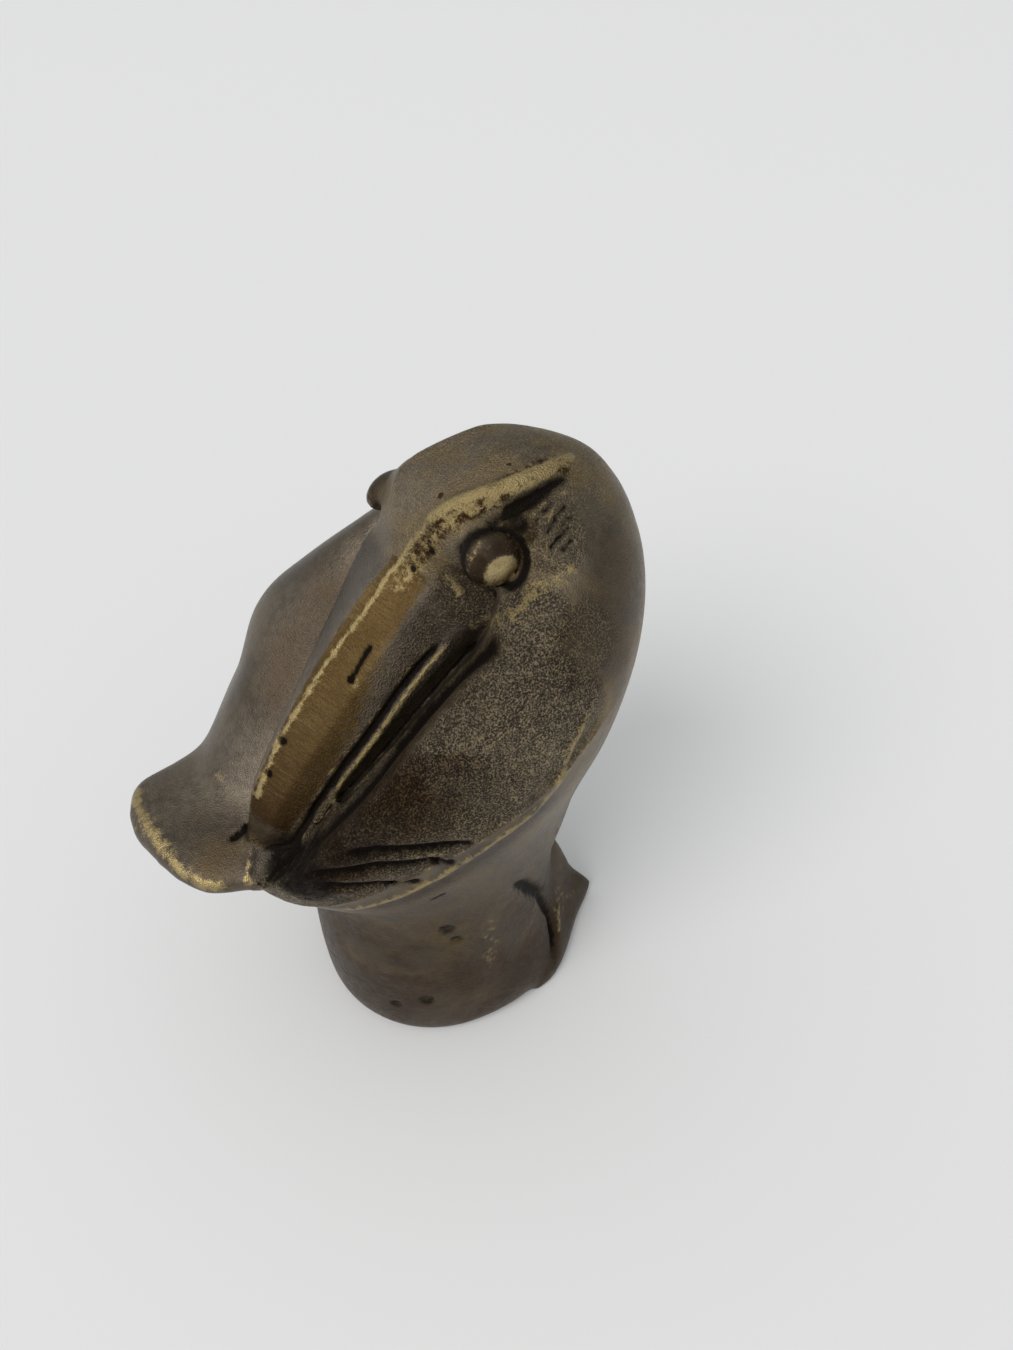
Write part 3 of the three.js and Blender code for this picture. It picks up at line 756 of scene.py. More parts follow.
@dataclass(frozen=True)
class BrassFinish:
    """One finish of the old brass: its colours, how it shines and how rough it was cast.

    Shade and tone are the patina, warm is where it is thin, and the colour after warm darkens it
    where shade is painted and where the patina is thick. The sand colours paint the shading of the
    sand grain, from its hollows to its tops. Gold and brown are filed, rust darkens their
    scratches, gleam is rubbed bare brass and the painted glints on the sand grain, and the last
    colour is dirt and painted shade.
    Each span says between which values of an effect or a mask a layer sets in, and each lift is
    the height of a relief, as a share of the bump distance.
    """

    slot: str
    shade: Colour = (0.073, 0.061, 0.050)
    tone: Colour = (0.186, 0.157, 0.122)
    warm: Colour = (0.205, 0.147, 0.068)
    thick: Colour = (0.255, 0.186, 0.126)
    sand_shade: Colour = (0.056, 0.045, 0.033)
    sand_tone: Colour = (0.300, 0.240, 0.158)
    gold: Colour = (0.168, 0.112, 0.045)
    brown: Colour = (0.040, 0.016, 0.004)
    rust: Colour = (0.480, 0.410, 0.320)
    gleam: Colour = (0.330, 0.252, 0.116)
    soot_and_shade: Colour = (0.008, 0.006, 0.005)
    metal: float = 0.94
    satin: float = 0.37
    polish: float = 0.27
    pit_share: float = 0.14
    cloud_share: float = 0.62
    sand_span: Span = (0.2, 0.9)
    grain_span: Span = (0.43, 0.67)
    plane_span: Span = (0.35, 0.85)
    plane_start: Span = (0.0, 0.2)
    hair_span: Span = (0.28, 0.7)
    wear_span: Span = (0.2, 0.95)
    wear_start: Span = (0.02, 0.2)
    dirt_and_shade_span: Span = (0.08, 0.85)
    glint_share: float = 0.35
    hollow_share: float = 0.35
    grain_lift: float = 0.14
    sand_lift: float = 2.2
    file_lift: float = 0.16
    fleck_lift: float = 0.05
    pit_lift: float = -0.6
    bump: float = 0.0003

    def material(self, effects: Effects) -> bpy.types.Material:
        """Builds the material.

        Args:
            effects: Shared surface effects.

        Returns:
            The new material.
        """
        made = bpy.data.materials.new(self.slot)
        made.use_nodes = True
        made.node_tree.nodes.clear()
        bench = ShaderBench(made.node_tree)
        place = bench.node("ShaderNodeTexCoord").outputs["Object"]
        results: Dict[str, Socket] = {}
        for tree in effects.trees:
            placed = bench.node("ShaderNodeGroup", {"Vector": place}, node_tree=tree)
            if "Pit Share" in placed.inputs:
                placed.inputs["Pit Share"].default_value = self.pit_share
            results.update(placed.outputs.items())
        surface = Surface(bench, results, {mask: bench.mask(mask) for mask in Mask})
        wear_and_glint, dirt_and_shade = self._wear_and_glint(surface), self._dirt_and_shade(surface)
        shader = bench.node("ShaderNodeBsdfPrincipled", {
            "Base Color": self._colour(surface, wear_and_glint, dirt_and_shade),
            "Roughness": self._roughness(surface, wear_and_glint, dirt_and_shade),
            "Metallic": self.metal,
            "Normal": self._relief(surface),
        })
        bench.node("ShaderNodeOutputMaterial", {"Surface": shader.outputs["BSDF"]})
        return made

    def _colour(self, surface: Surface, wear_and_glint: Socket, dirt_and_shade: Socket) -> Socket:
        """Colour of patina, painted grain shading, painted shade and thick patina, filed brass,
        bare brass with painted glints, and dirt with painted shade, one over the other.

        Args:
            surface: Effects and masks of the material.
            wear_and_glint: Share of bare brass and of painted glints on the sand grain.
            dirt_and_shade: Share of dirt and of painted shade.

        Returns:
            The colour.
        """
        bench, effects, masks = surface.bench, surface.effects, surface.masks
        mottle = bench.maths("ADD", bench.times(effects["Cloud"], self.cloud_share),
                             bench.times(effects["Fleck"], 1.0 - self.cloud_share))
        colour = bench.tint(mottle, self.shade, self.tone)
        thin = bench.plus(0.32, effects["Blotch"], 0.55)
        colour = bench.tint(bench.times(thin, masks[Mask.WARM]), colour, self.warm)
        # Painted light and shade on the sand grain: its colour runs from sand_shade in the hollows
        # to sand_tone on the tops.
        grain_shading = bench.sway(bench.ease(effects["Height"], self.grain_span), mottle, 0.3)
        sandy = bench.tint(grain_shading, self.sand_shade, self.sand_tone)
        colour = bench.tint(bench.ease(masks[Mask.SAND], self.sand_span), colour, sandy)
        # Painted shade, and thick patina, darken the colour by a cloudy share of their mask.
        uneven = bench.plus(0.68, effects["Cloud"], 0.6)
        uneven = bench.maths("MULTIPLY", uneven, masks[Mask.THICK], clamp=True)
        colour = bench.tint(uneven, colour, self.thick, "MULTIPLY")
        ragged = bench.sway(masks[Mask.FILED], effects["Stroke"], 1.4)
        plane = bench.times(bench.ease(ragged, self.plane_span),
                            bench.ease(masks[Mask.FILED], self.plane_start))
        hairs = bench.times(bench.ease(effects["Stroke"], self.hair_span), mottle)
        filed = bench.tint(masks[Mask.WARM], self.gold, self.brown)
        scratched = bench.maths("SUBTRACT", 0.85, hairs, clamp=True)
        filed = bench.tint(scratched, filed, self.rust, "MULTIPLY")
        colour = bench.tint(plane, colour, filed)
        # Bare rubbed brass, and painted glints on the sand grain.
        colour = bench.tint(wear_and_glint, colour, self.gleam)
        # Dirt, and painted shade, in near black.
        return bench.tint(dirt_and_shade, colour, self.soot_and_shade)

    def _roughness(self, surface: Surface, wear_and_glint: Socket, dirt_and_shade: Socket) -> Socket:
        """Roughness: smoother where rubbed and where glints are painted, rougher where dirt and
        painted shade lie, sandy or filed.

        Args:
            surface: Effects and masks of the material.
            wear_and_glint: Share of bare brass and of painted glints on the sand grain.
            dirt_and_shade: Share of dirt and of painted shade.

        Returns:
            The roughness.
        """
        bench, masks = surface.bench, surface.masks
        rough = bench.plus(self.satin, wear_and_glint, self.polish - self.satin)
        for layer, rise in ((dirt_and_shade, 0.3), (masks[Mask.SAND], 0.12), (masks[Mask.FILED], 0.1)):
            rough = bench.plus(rough, layer, rise)
        return bench.sway(rough, surface.effects["Fleck"], 0.12)

    def _wear_and_glint(self, surface: Surface) -> Socket:
        """Share of bare rubbed brass, and of painted highlights: glints on the tops of the sand
        grain.
        """
        bench, effects, masks = surface.bench, surface.effects, surface.masks
        bright = bench.times(masks[Mask.BRIGHT], bench.plus(1.0, masks[Mask.THICK], -0.4))
        broken = bench.sway(bright, effects["Fleck"], 0.62)
        broken = bench.sway(broken, effects["Grain"], 1.1)
        edge = bench.times(bench.ease(broken, self.wear_span), bench.ease(bright, self.wear_start))
        # Painted highlights: glints on the tops of the sand grain, fewer under painted shade and
        # thick patina.
        glint = bench.times(masks[Mask.SAND], effects["Glint"])
        glint = bench.times(glint, bench.plus(1.0, masks[Mask.THICK], -0.75))
        return bench.maths("MAXIMUM", edge, bench.times(glint, self.glint_share), clamp=True)

    def _dirt_and_shade(self, surface: Surface) -> Socket:
        """Share of dark dirt in hollows and pits, and of painted shade where strokes and spots lay
        it.
        """
        bench, effects, masks = surface.bench, surface.effects, surface.masks
        # The dark mask holds dirt in grooves and hollows, and painted shade laid by strokes and
        # spots.
        broken = bench.sway(masks[Mask.DARK], effects["Fleck"], 0.3)
        deep = bench.times(bench.ease(broken, self.dirt_and_shade_span), 0.95)
        hollow = bench.times(bench.times(masks[Mask.SAND], effects["Hollow"]), self.hollow_share)
        spot = bench.times(effects["Pit"], 0.8)
        return bench.maths("MAXIMUM", bench.maths("MAXIMUM", deep, hollow), spot, clamp=True)

    def _relief(self, surface: Surface) -> Socket:
        """Fine relief of grain, file strokes and pits."""
        bench, effects, masks = surface.bench, surface.effects, surface.masks
        height = bench.times(effects["Grain"], self.grain_lift)
        for mask, effect, lift in (
            (Mask.SAND, "Height", self.sand_lift), (Mask.FILED, "Stroke", self.file_lift),
        ):
            rise = bench.times(bench.times(masks[mask], effects[effect]), lift)
            height = bench.maths("ADD", height, rise)
        for effect, lift in (("Fleck", self.fleck_lift), ("Pit", self.pit_lift)):
            height = bench.plus(height, effects[effect], lift)
        bump = bench.node("ShaderNodeBump", {"Height": height, "Distance": self.bump})
        return bump.outputs["Normal"]


@dataclass
class Part:
    """Shared dressing of a sub-assembly: which solids it holds and with what finish."""

    slots: Dict[str, str] = field(default_factory=dict)
    wall: float = 0.7
    strokes: Tuple[Stroke, ...] = ()
    spots: Tuple[Spot, ...] = ()

    def form(self, skin: CastingSkin) -> None:
        """Works the broad forms, where the sub-assembly has any to work."""

    def mark(self, skin: CastingSkin) -> None:
        """Makes the tool strokes and the spots."""
        for stroke in self.strokes:
            skin.stroke(stroke)
        for spot in self.spots:
            skin.spot(spot)

    def dress(self, skin: CastingSkin,
              finishes: Dict[str, bpy.types.Material]) -> List[bpy.types.Object]:
        """Parts the pieces from the skin and gives each its finish.

        Args:
            skin: The worked surface.
            finishes: Materials by slot.

        Returns:
            The new pieces.
        """
        made = []
        for node, slot in self.slots.items():
            piece = skin.piece(node, self.wall)
            piece.data.materials.append(finishes[slot])
            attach(piece, "root")
            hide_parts(node)
            made.append(piece)
            LOG.info("%s: %d faces, %s", piece.name, len(piece.data.polygons), slot)
        return made


@dataclass
class Trunk(Part):
    """Body, stand, tail and feet, with the stains and the painted shade that run over the whole
    figure.
    """

    slots: Dict[str, str] = field(default_factory=lambda: {
        "stand": "smooth_patina", "body": "smooth_patina", "tail": "smooth_patina",
        "left_foot": "smooth_patina", "right_foot": "smooth_patina",
    })
    smooth_rounds: int = 70
    seam_rounds: int = 6
    firm: Shares = (
        ("tail", 0.4), ("left_foot", 0.25), ("right_foot", 0.25), ("head", 0.22),
        ("right_wing", 0.55), ("upper_bill", 0.03), ("lower_bill", 0.03), ("left_eye", 0.05),
        ("right_eye", 0.05),
    )
    back_rounds: int = 300
    back_blur: int = 20
    back_span: Span = (0.3, 0.9)
    nape: Soften = Soften((21.0, 0.0, 86.0), 15.0, 120)
    rump: Soften = Soften((-26.0, 4.0, 51.0), 13.0, 220)
    swells: Tuple[Swell, ...] = (
        Swell((-6.0, 14.0, 78.0), 12.0, (-0.9, 0.9, 0.6)),
        Swell((-15.0, 15.8, 68.5), 15.0, (-2.0, 1.8, 1.0)),
        Swell((-24.5, 15.5, 56.5), 11.0, (0.9, -0.8, -0.2)),
        Swell((6.5, 3.0, 93.5), 6.0, (0.1, -0.3, -0.5)),
        Swell((1.5, 3.5, 89.5), 7.0, (-0.3, 0.4, 0.5)),
        Swell((12.0, -1.0, 95.0), 9.0, (0.0, 0.0, -0.45)),
        Swell((7.0, -8.0, 78.3), 6.5, (-0.9, -2.9, 3.0)),
        Swell((23.0, 0.0, 89.0), 9.0, (0.6, 0.4, 0.7)),
        Swell((30.0, -2.0, 66.0), 20.0, (-1.3, 0.3, 0.0)),
        Swell((-37.4, -8.7, 47.0), 8.0, (1.5, 1.5, 0.0)),
        Swell((-39.4, 6.7, 47.0), 6.0, (-0.5, 0.8, 0.0)),
        Swell((-18.0, -7.0, 14.0), 17.0, (-0.7, -0.1, 0.0)),
        Swell((14.0, -14.0, 3.0), 15.0, (1.4, -1.7, 0.0)),
    )
    stain_rounds: int = 60
    grain: Shares = (
        ("stand", 0.28), ("body", 0.2), ("tail", 0.2), ("head", 0.45), ("upper_bill", 0.26),
        ("lower_bill", 0.4), ("left_wing", 0.14), ("left_foot", 0.2), ("right_foot", 0.2),
    )
    darker_pieces: Shares = (("tail", 0.15), ("lower_bill", 0.5))
    thin_patina: Shares = (
        ("stand", 0.95), ("left_foot", 0.6), ("right_foot", 0.6), ("body", 0.55), ("tail", 0.15),
        ("head", 1.0), ("left_wing", 0.15), ("right_wing", 0.5),
    )
    # Painted shade: pieces that are darkened towards the bottom, below low_span.
    low_shade: Shares = (
        ("stand", 0.88), ("body", 0.85), ("left_foot", 0.8), ("right_foot", 0.8),
    )
    low_span: Span = (22.0, 56.0)
    low_rounds: int = 30
    strokes: Tuple[Stroke, ...] = (
        Stroke(((-39.3, 6.0, 48.2), (-39.2, 2.5, 48.4), (-38.6, -0.5, 48.7), (-37.4, -3.9, 48.8),
                (-36.1, -8.2, 48.7), (-35.2, -10.6, 48.4), (-32.3, -13.2, 47.7),
                (-28.5, -14.6, 46.8)),
               Mark.RIDGE, 0.9, 0.12, bright=1.0),
        Stroke(((-25.6, -9.2, 50.5), (-25.7, -11.3, 49.1), (-27.2, -14.5, 46.9)),
               Mark.RIDGE, 0.7, 0.4),
        Stroke(((-28.1, -8.4, 49.2), (-25.8, -7.4, 49.3), (-25.4, -6.4, 49.1)),
               Mark.GROOVE, 0.5, 0.7, dark=0.95),
        Stroke(((-28.1, 3.0, 52.0), (-27.8, -2.0, 49.6)),
               Mark.RIDGE, 0.8, 0.1, bright=0.3, taper=0.4),
        Stroke(((6.5, -18.0, 37.0), (9.5, -15.7, 31.5), (13.8, -11.4, 21.5), (16.0, -8.7, 11.7),
                (15.9, -9.9, 6.6), (14.9, -11.9, 3.9), (14.2, -12.9, 1.7)),
               Mark.GROOVE, 1.1, 1.0, dark=1.0, taper=0.2),
        Stroke(((19.1, -5.6, 9.6), (17.9, -7.8, 7.5), (16.7, -10.3, 4.7)),
               Mark.RIDGE, 0.7, 0.2, bright=0.8, taper=0.3),
        Stroke(((19.4, -5.4, 9.0), (25.9, -1.9, 3.1)), Mark.RIDGE, 0.6, 0.1, bright=0.6, taper=0.3),
        Stroke(((-4.7, -20.8, 42.4), (-3.4, -21.1, 43.4)),
               Mark.GROOVE, 0.35, 0.3, dark=0.9, taper=0.0),
        Stroke(((4.0, -18.1, 32.6), (3.7, -17.9, 22.5), (3.5, -18.3, 13.6)),
               Mark.RIDGE, 1.5, 0.1, bright=0.55, taper=0.35),
    )
    spots: Tuple[Spot, ...] = (
        Spot((-6.5, -17.9, 11.5), 1.6, Mask.DARK, 0.6, 0.2),
        Spot((-10.9, -15.8, 9.3), 1.2, Mask.DARK, 0.55, 0.2),
        Spot((-2.7, -18.3, 30.1), 1.7, Mask.DARK, 0.6, 0.2),
        Spot((-1.4, -18.3, 26.8), 1.3, Mask.DARK, 0.5, 0.2),
        Spot((-29.6, -10.0, 49.0), 5.0, Mask.WARM, 0.6),
        Spot((-31.0, -9.0, 49.0), 9.0, Mask.THICK, 0.42),
        Spot((15.5, -20.5, 71.0), 7.0, Mask.WARM, 0.95),
        # Painted shade on the stand's right side, away from the key light.
        Spot((14.0, -14.0, 17.0), 17.0, Mask.THICK, 0.95),
        # Painted shade over the nape.
        Spot((24.0, -14.0, 84.0), 9.0, Mask.THICK, 0.42),
        Spot((17.9, -17.5, 78.7), 8.5, Mask.THICK, 0.5),
        # Painted shade under the brow, at the top of the eye.
        Spot((10.9, -9.3, 90.2), 2.4, Mask.THICK, 0.8),
        Spot((10.2, -8.6, 90.8), 2.0, Mask.DARK, 0.7),
        Spot((10.5, -15.0, 82.0), 6.0, Mask.SAND, 0.8),
        Spot((15.0, -17.0, 79.0), 7.0, Mask.SAND, 0.6),
        # Painted shade at the wing's rear end, in the recess beside the tip of the bill.
        Spot((-19.0, -18.5, 53.5), 6.5, Mask.DARK, 0.7),
        Spot((-21.5, -14.5, 50.0), 4.5, Mask.DARK, 0.75),
        Spot((20.0, -6.5, 9.0), 4.0, Mask.BRIGHT, 0.38),
        Spot((14.0, -9.5, 89.0), 5.5, Mask.THICK, 0.1),
        Spot((14.0, -9.5, 89.0), 6.5, Mask.SAND, 0.6),
        # Painted shade between the cheek and the bill.
        Spot((5.0, -7.5, 81.5), 5.0, Mask.THICK, 0.6),
        Spot((4.6, -7.6, 84.6), 3.6, Mask.DARK, 0.36),
        # Painted shade on the near wing's panel below the bill.
        Spot((-15.0, -21.5, 60.0), 7.5, Mask.DARK, 0.42),
        Spot((-10.0, -20.0, 63.5), 6.0, Mask.DARK, 0.26),
        Spot((5.0, -7.5, 81.5), 6.0, Mask.SAND, 0.65),
    )

    def form(self, skin: CastingSkin) -> None:
        """Smooths the broad forms."""
        weight = np.ones(len(skin.points))
        for name, share in self.firm:
            weight[skin.on(name) > 0] = share
        weight = np.minimum(weight, skin.blur(weight, self.seam_rounds))
        skin.relax(weight, self.smooth_rounds)
        back = skin.blur(skin.on("left_wing"), self.back_blur)
        skin.relax(back * smooth_share(weight, *self.back_span), self.back_rounds)
        bill = skin.edged("upper_bill", "lower_bill")
        for area in (self.nape, self.rump):
            skin.soften(area, bill)
        for swell in self.swells:
            skin.swell(swell)

    def mark(self, skin: CastingSkin) -> None:
        """Notes where the patina is thin, where the cast is sandy and which pieces are darker, and
        paints shade that darkens the low pieces towards the bottom, then marks the tail, the stand
        and the feet.
        """
        for mask, shares in (
            (Mask.WARM, self.thin_patina), (Mask.SAND, self.grain), (Mask.THICK, self.darker_pieces),
        ):
            skin.stain(mask, skin.blur(skin.cover(shares), self.stain_rounds))
        # Painted shade: darker towards the bottom, as the light falls from above.
        low = 1.0 - smooth_share(skin.points[:, 2], *self.low_span)
        skin.stain(Mask.THICK, skin.blur(skin.cover(self.low_shade) * low, self.low_rounds))
        super().mark(skin)


@dataclass
class Wings(Part):
    """The two folded wings."""

    slots: Dict[str, str] = field(default_factory=lambda: {
        "left_wing": "smooth_patina", "right_wing": "sand_cast",
    })
    shoulder: Tuple[Soften, ...] = (
        Soften((10.0, -16.0, 80.5), 7.0, 160), Soften((14.5, -18.5, 78.0), 7.0, 160),
        Soften((17.0, -19.8, 74.0), 7.0, 160),
    )
    panel_sunk: float = 0.6
    panel_rounds: int = 14
    panel_span: Span = (0.6, 0.98)
    panel_top: Span = (69.0, 78.0)
    sand_rounds: int = 260
    sand_span: Span = (0.22, 0.85)
    hollows: Tuple[Swell, ...] = (
        Swell((2.3, -25.1, 61.7), 4.5, (-0.2, 0.8, -0.4)),
        Swell((-1.5, -24.6, 64.4), 4.0, (-0.2, 0.7, -0.3)),
    )
    strokes: Tuple[Stroke, ...] = (
        Stroke(((17.4, -19.4, 73.7), (15.3, -21.1, 70.5), (12.9, -22.4, 67.6), (11.0, -22.6, 62.4),
                (7.9, -23.1, 59.1), (2.7, -23.9, 56.3), (-3.6, -23.1, 51.1), (-8.7, -22.2, 47.8),
                (-14.5, -20.5, 45.1), (-20.1, -19.6, 44.5)),
               Mark.RIDGE, 0.85, 0.4, bright=0.75),
        # Painted shade on the belly band just under the rim.
        Stroke(((11.5, -22.5, 60.5), (7.5, -22.7, 56.5), (2.5, -23.2, 53.5), (-3.6, -22.3, 48.5),
                (-8.7, -21.2, 45.2), (-14.5, -19.5, 42.5)),
               Mark.GROOVE, 2.6, 0.0, thick=0.85),
        *(Stroke(feather, Mark.GROOVE, 0.75, 0.9, dark=0.95, taper=0.2) for feather in (
            ((-16.6, -22.4, 59.0), (-11.5, -24.2, 59.8), (-3.8, -25.1, 58.4), (0.8, -24.4, 57.1)),
            ((-20.7, -20.0, 54.9), (-11.8, -24.4, 56.9), (-5.5, -24.9, 55.8), (-1.1, -23.3, 52.0)),
            ((-19.6, -21.9, 53.2), (-12.1, -24.0, 52.6), (-5.7, -22.8, 49.8)),
        )),
        # A groove cut under the bill: dirt in it, and painted shade along it from the overhanging
        # bill.
        Stroke(((6.6, -15.6, 81.3), (2.3, -12.5, 74.0), (-1.8, -12.2, 69.3), (-6.5, -13.4, 65.2),
                (-11.9, -16.2, 61.7), (-15.5, -16.3, 58.2), (-18.3, -15.9, 54.8)),
               Mark.GROOVE, 2.0, 0.5, dark=1.0, thick=1.0, taper=0.1),
        # Painted shade on the panel beside the bill.
        Stroke(((5.0, -17.0, 79.0), (0.5, -15.5, 72.0), (-4.5, -16.5, 67.5), (-10.0, -19.0, 63.0),
                (-15.5, -20.0, 58.0)),
               Mark.GROOVE, 3.6, 0.0, thick=0.7, taper=0.15),
        # Painted shade over the lower panel below the bill.
        Stroke(((-3.0, -19.0, 69.0), (-8.0, -21.0, 65.0), (-12.6, -21.8, 62.0),
                (-17.5, -21.0, 57.0), (-20.5, -17.0, 51.0)),
               Mark.GROOVE, 9.0, 0.0, thick=1.0, taper=0.1),
        # Painted shade on the far wing beside the bill.
        Stroke(((-2.5, 8.5, 82.0), (-8.0, 7.5, 76.0), (-14.5, 6.1, 65.8), (-18.2, 3.7, 61.3),
                (-22.2, 2.1, 57.1)),
               Mark.GROOVE, 5.5, 0.0, thick=0.62, taper=0.1),
    )

    def form(self, skin: CastingSkin) -> None:
        """Sinks the near wing's panel inside its rim."""
        inside = smooth_share(skin.blur(skin.on("right_wing"), self.panel_rounds), *self.panel_span)
        inside *= 1.0 - smooth_share(skin.points[:, 2], *self.panel_top)
        skin.points -= skin.normals() * (self.panel_sunk * inside)[:, None]
        for swell in self.hollows:
            skin.swell(swell)
        bill = skin.edged("upper_bill", "lower_bill", "left_eye")
        for area in self.shoulder:
            skin.soften(area, bill)

    def mark(self, skin: CastingSkin) -> None:
        """Raises the rim, cuts the feathers, paints shade under and beside the bill, on the far
        wing and on the belly under the rim, and marks the sandy panel.
        """
        super().mark(skin)
        panel = skin.blur(skin.on("right_wing"), self.sand_rounds)
        skin.stain(Mask.SAND, smooth_share(panel, *self.sand_span))


@dataclass
class Bill(Part):
    """Upper and lower bill."""

    slots: Dict[str, str] = field(default_factory=lambda: {
        "upper_bill": "filed_brass", "lower_bill": "filed_brass",
    })
    frame: BillFrame = field(default_factory=BillFrame)
    half_widths: Table = (
        (0.0, 8.2), (0.25, 7.4), (0.55, 6.3), (0.8, 4.8), (0.93, 3.7), (1.0, 2.2),
    )
    filed_edge: Table = ((0.0, 0.48), (0.3, 0.66), (0.6, 0.86), (1.0, 0.95))
    filed_fade: float = 0.36
    ridge_span: Span = (-0.03, 0.05)
    tip_span: Span = (0.86, 0.98)
    flank_darkening: float = 0.54
    flank_sand: float = 0.5
    blend: Soften = Soften((-17.0, -12.0, 53.5), 4.5, 120)
    strokes: Tuple[Stroke, ...] = (
        Stroke(((1.7, -3.0, 88.4), (-0.1, -1.5, 84.8), (-2.7, -1.5, 81.6), (-5.2, -2.7, 79.1),
                (-7.6, -3.4, 76.7), (-10.4, -4.1, 73.9), (-13.4, -5.0, 70.6), (-16.5, -6.0, 66.8),
                (-19.1, -6.7, 63.6), (-21.6, -7.9, 59.6), (-23.5, -8.8, 56.1)),
               Mark.RIDGE, 0.45, 0.25, bright=0.75, taper=0.03),
        Stroke(((1.6, -8.1, 75.5), (-1.5, -8.7, 72.9), (-4.8, -9.5, 69.7), (-8.2, -10.4, 65.8),
                (-12.5, -11.2, 61.0), (-16.6, -11.9, 55.8), (-20.7, -12.1, 49.4)),
               Mark.GROOVE, 0.6, 0.5, dark=1.0, taper=0.1),
        Stroke(((3.4, -7.9, 76.5), (0.0, -8.1, 75.0), (-3.2, -8.8, 72.2), (-5.6, -9.4, 69.6),
                (-8.4, -10.1, 66.6), (-12.3, -10.8, 62.6), (-16.4, -11.6, 57.3),
                (-21.9, -12.4, 49.0)),
               Mark.RIDGE, 0.28, 0.15, bright=0.4),
        Stroke(((2.9, -8.1, 75.7), (-0.3, -8.8, 73.0), (-3.6, -9.6, 69.7), (-7.9, -10.8, 64.7),
                (-12.8, -11.6, 59.3), (-16.9, -11.6, 52.8), (-20.2, -13.7, 50.7)),
               Mark.RIDGE, 0.36, 0.3, bright=0.85, taper=0.08),
        Stroke(((-6.8, -6.2, 75.1), (-9.7, -7.4, 71.8)),
               Mark.GROOVE, 0.32, 0.4, dark=1.0, taper=0.0),
    )
    spots: Tuple[Spot, ...] = (
        Spot((-9.7, -7.4, 71.8), 0.55, Mask.DARK, 1.0, 0.3),
        Spot((-18.9, -6.8, 63.6), 0.8, Mask.DARK, 0.7, 0.4),
        Spot((-21.4, -8.1, 59.7), 0.7, Mask.DARK, 0.6, 0.4),
        Spot((-0.1, -2.8, 82.6), 0.6, Mask.DARK, 0.7, 0.2),
        Spot((1.8, -4.1, 85.6), 0.7, Mask.DARK, 0.7, 0.2),
    )

    def form(self, skin: CastingSkin) -> None:
        """Blends the end of the lower bill into the wing."""
        skin.soften(self.blend, np.zeros(len(skin.points)))

    def mark(self, skin: CastingSkin) -> None:
        """Sharpens the ridge, opens the mouth line and marks the filed face."""
        super().mark(skin)
        along, across, _ = self.frame.axes()
        reach = skin.points - np.array(self.frame.root)
        place = reach @ np.array(along) / self.frame.length
        side = reach @ np.array(across) / np.interp(place, *zip(*self.half_widths))
        upper = skin.edged("upper_bill")
        past = side - np.interp(place, *zip(*self.filed_edge))
        flank = smooth_share(past, 0.0, self.filed_fade)
        tip = smooth_share(place, *self.tip_span)
        filed = smooth_share(side, *self.ridge_span) * (1.0 - flank) * (1.0 - tip)
        skin.stain(Mask.FILED, filed * upper)
        skin.stain(Mask.THICK, np.maximum(self.flank_darkening * flank, tip) * upper)
        skin.stain(Mask.SAND, self.flank_sand * flank * upper)
        skin.stain(Mask.WARM, skin.on("upper_bill", "lower_bill") * np.clip(place, 0.0, 1.0) ** 2)


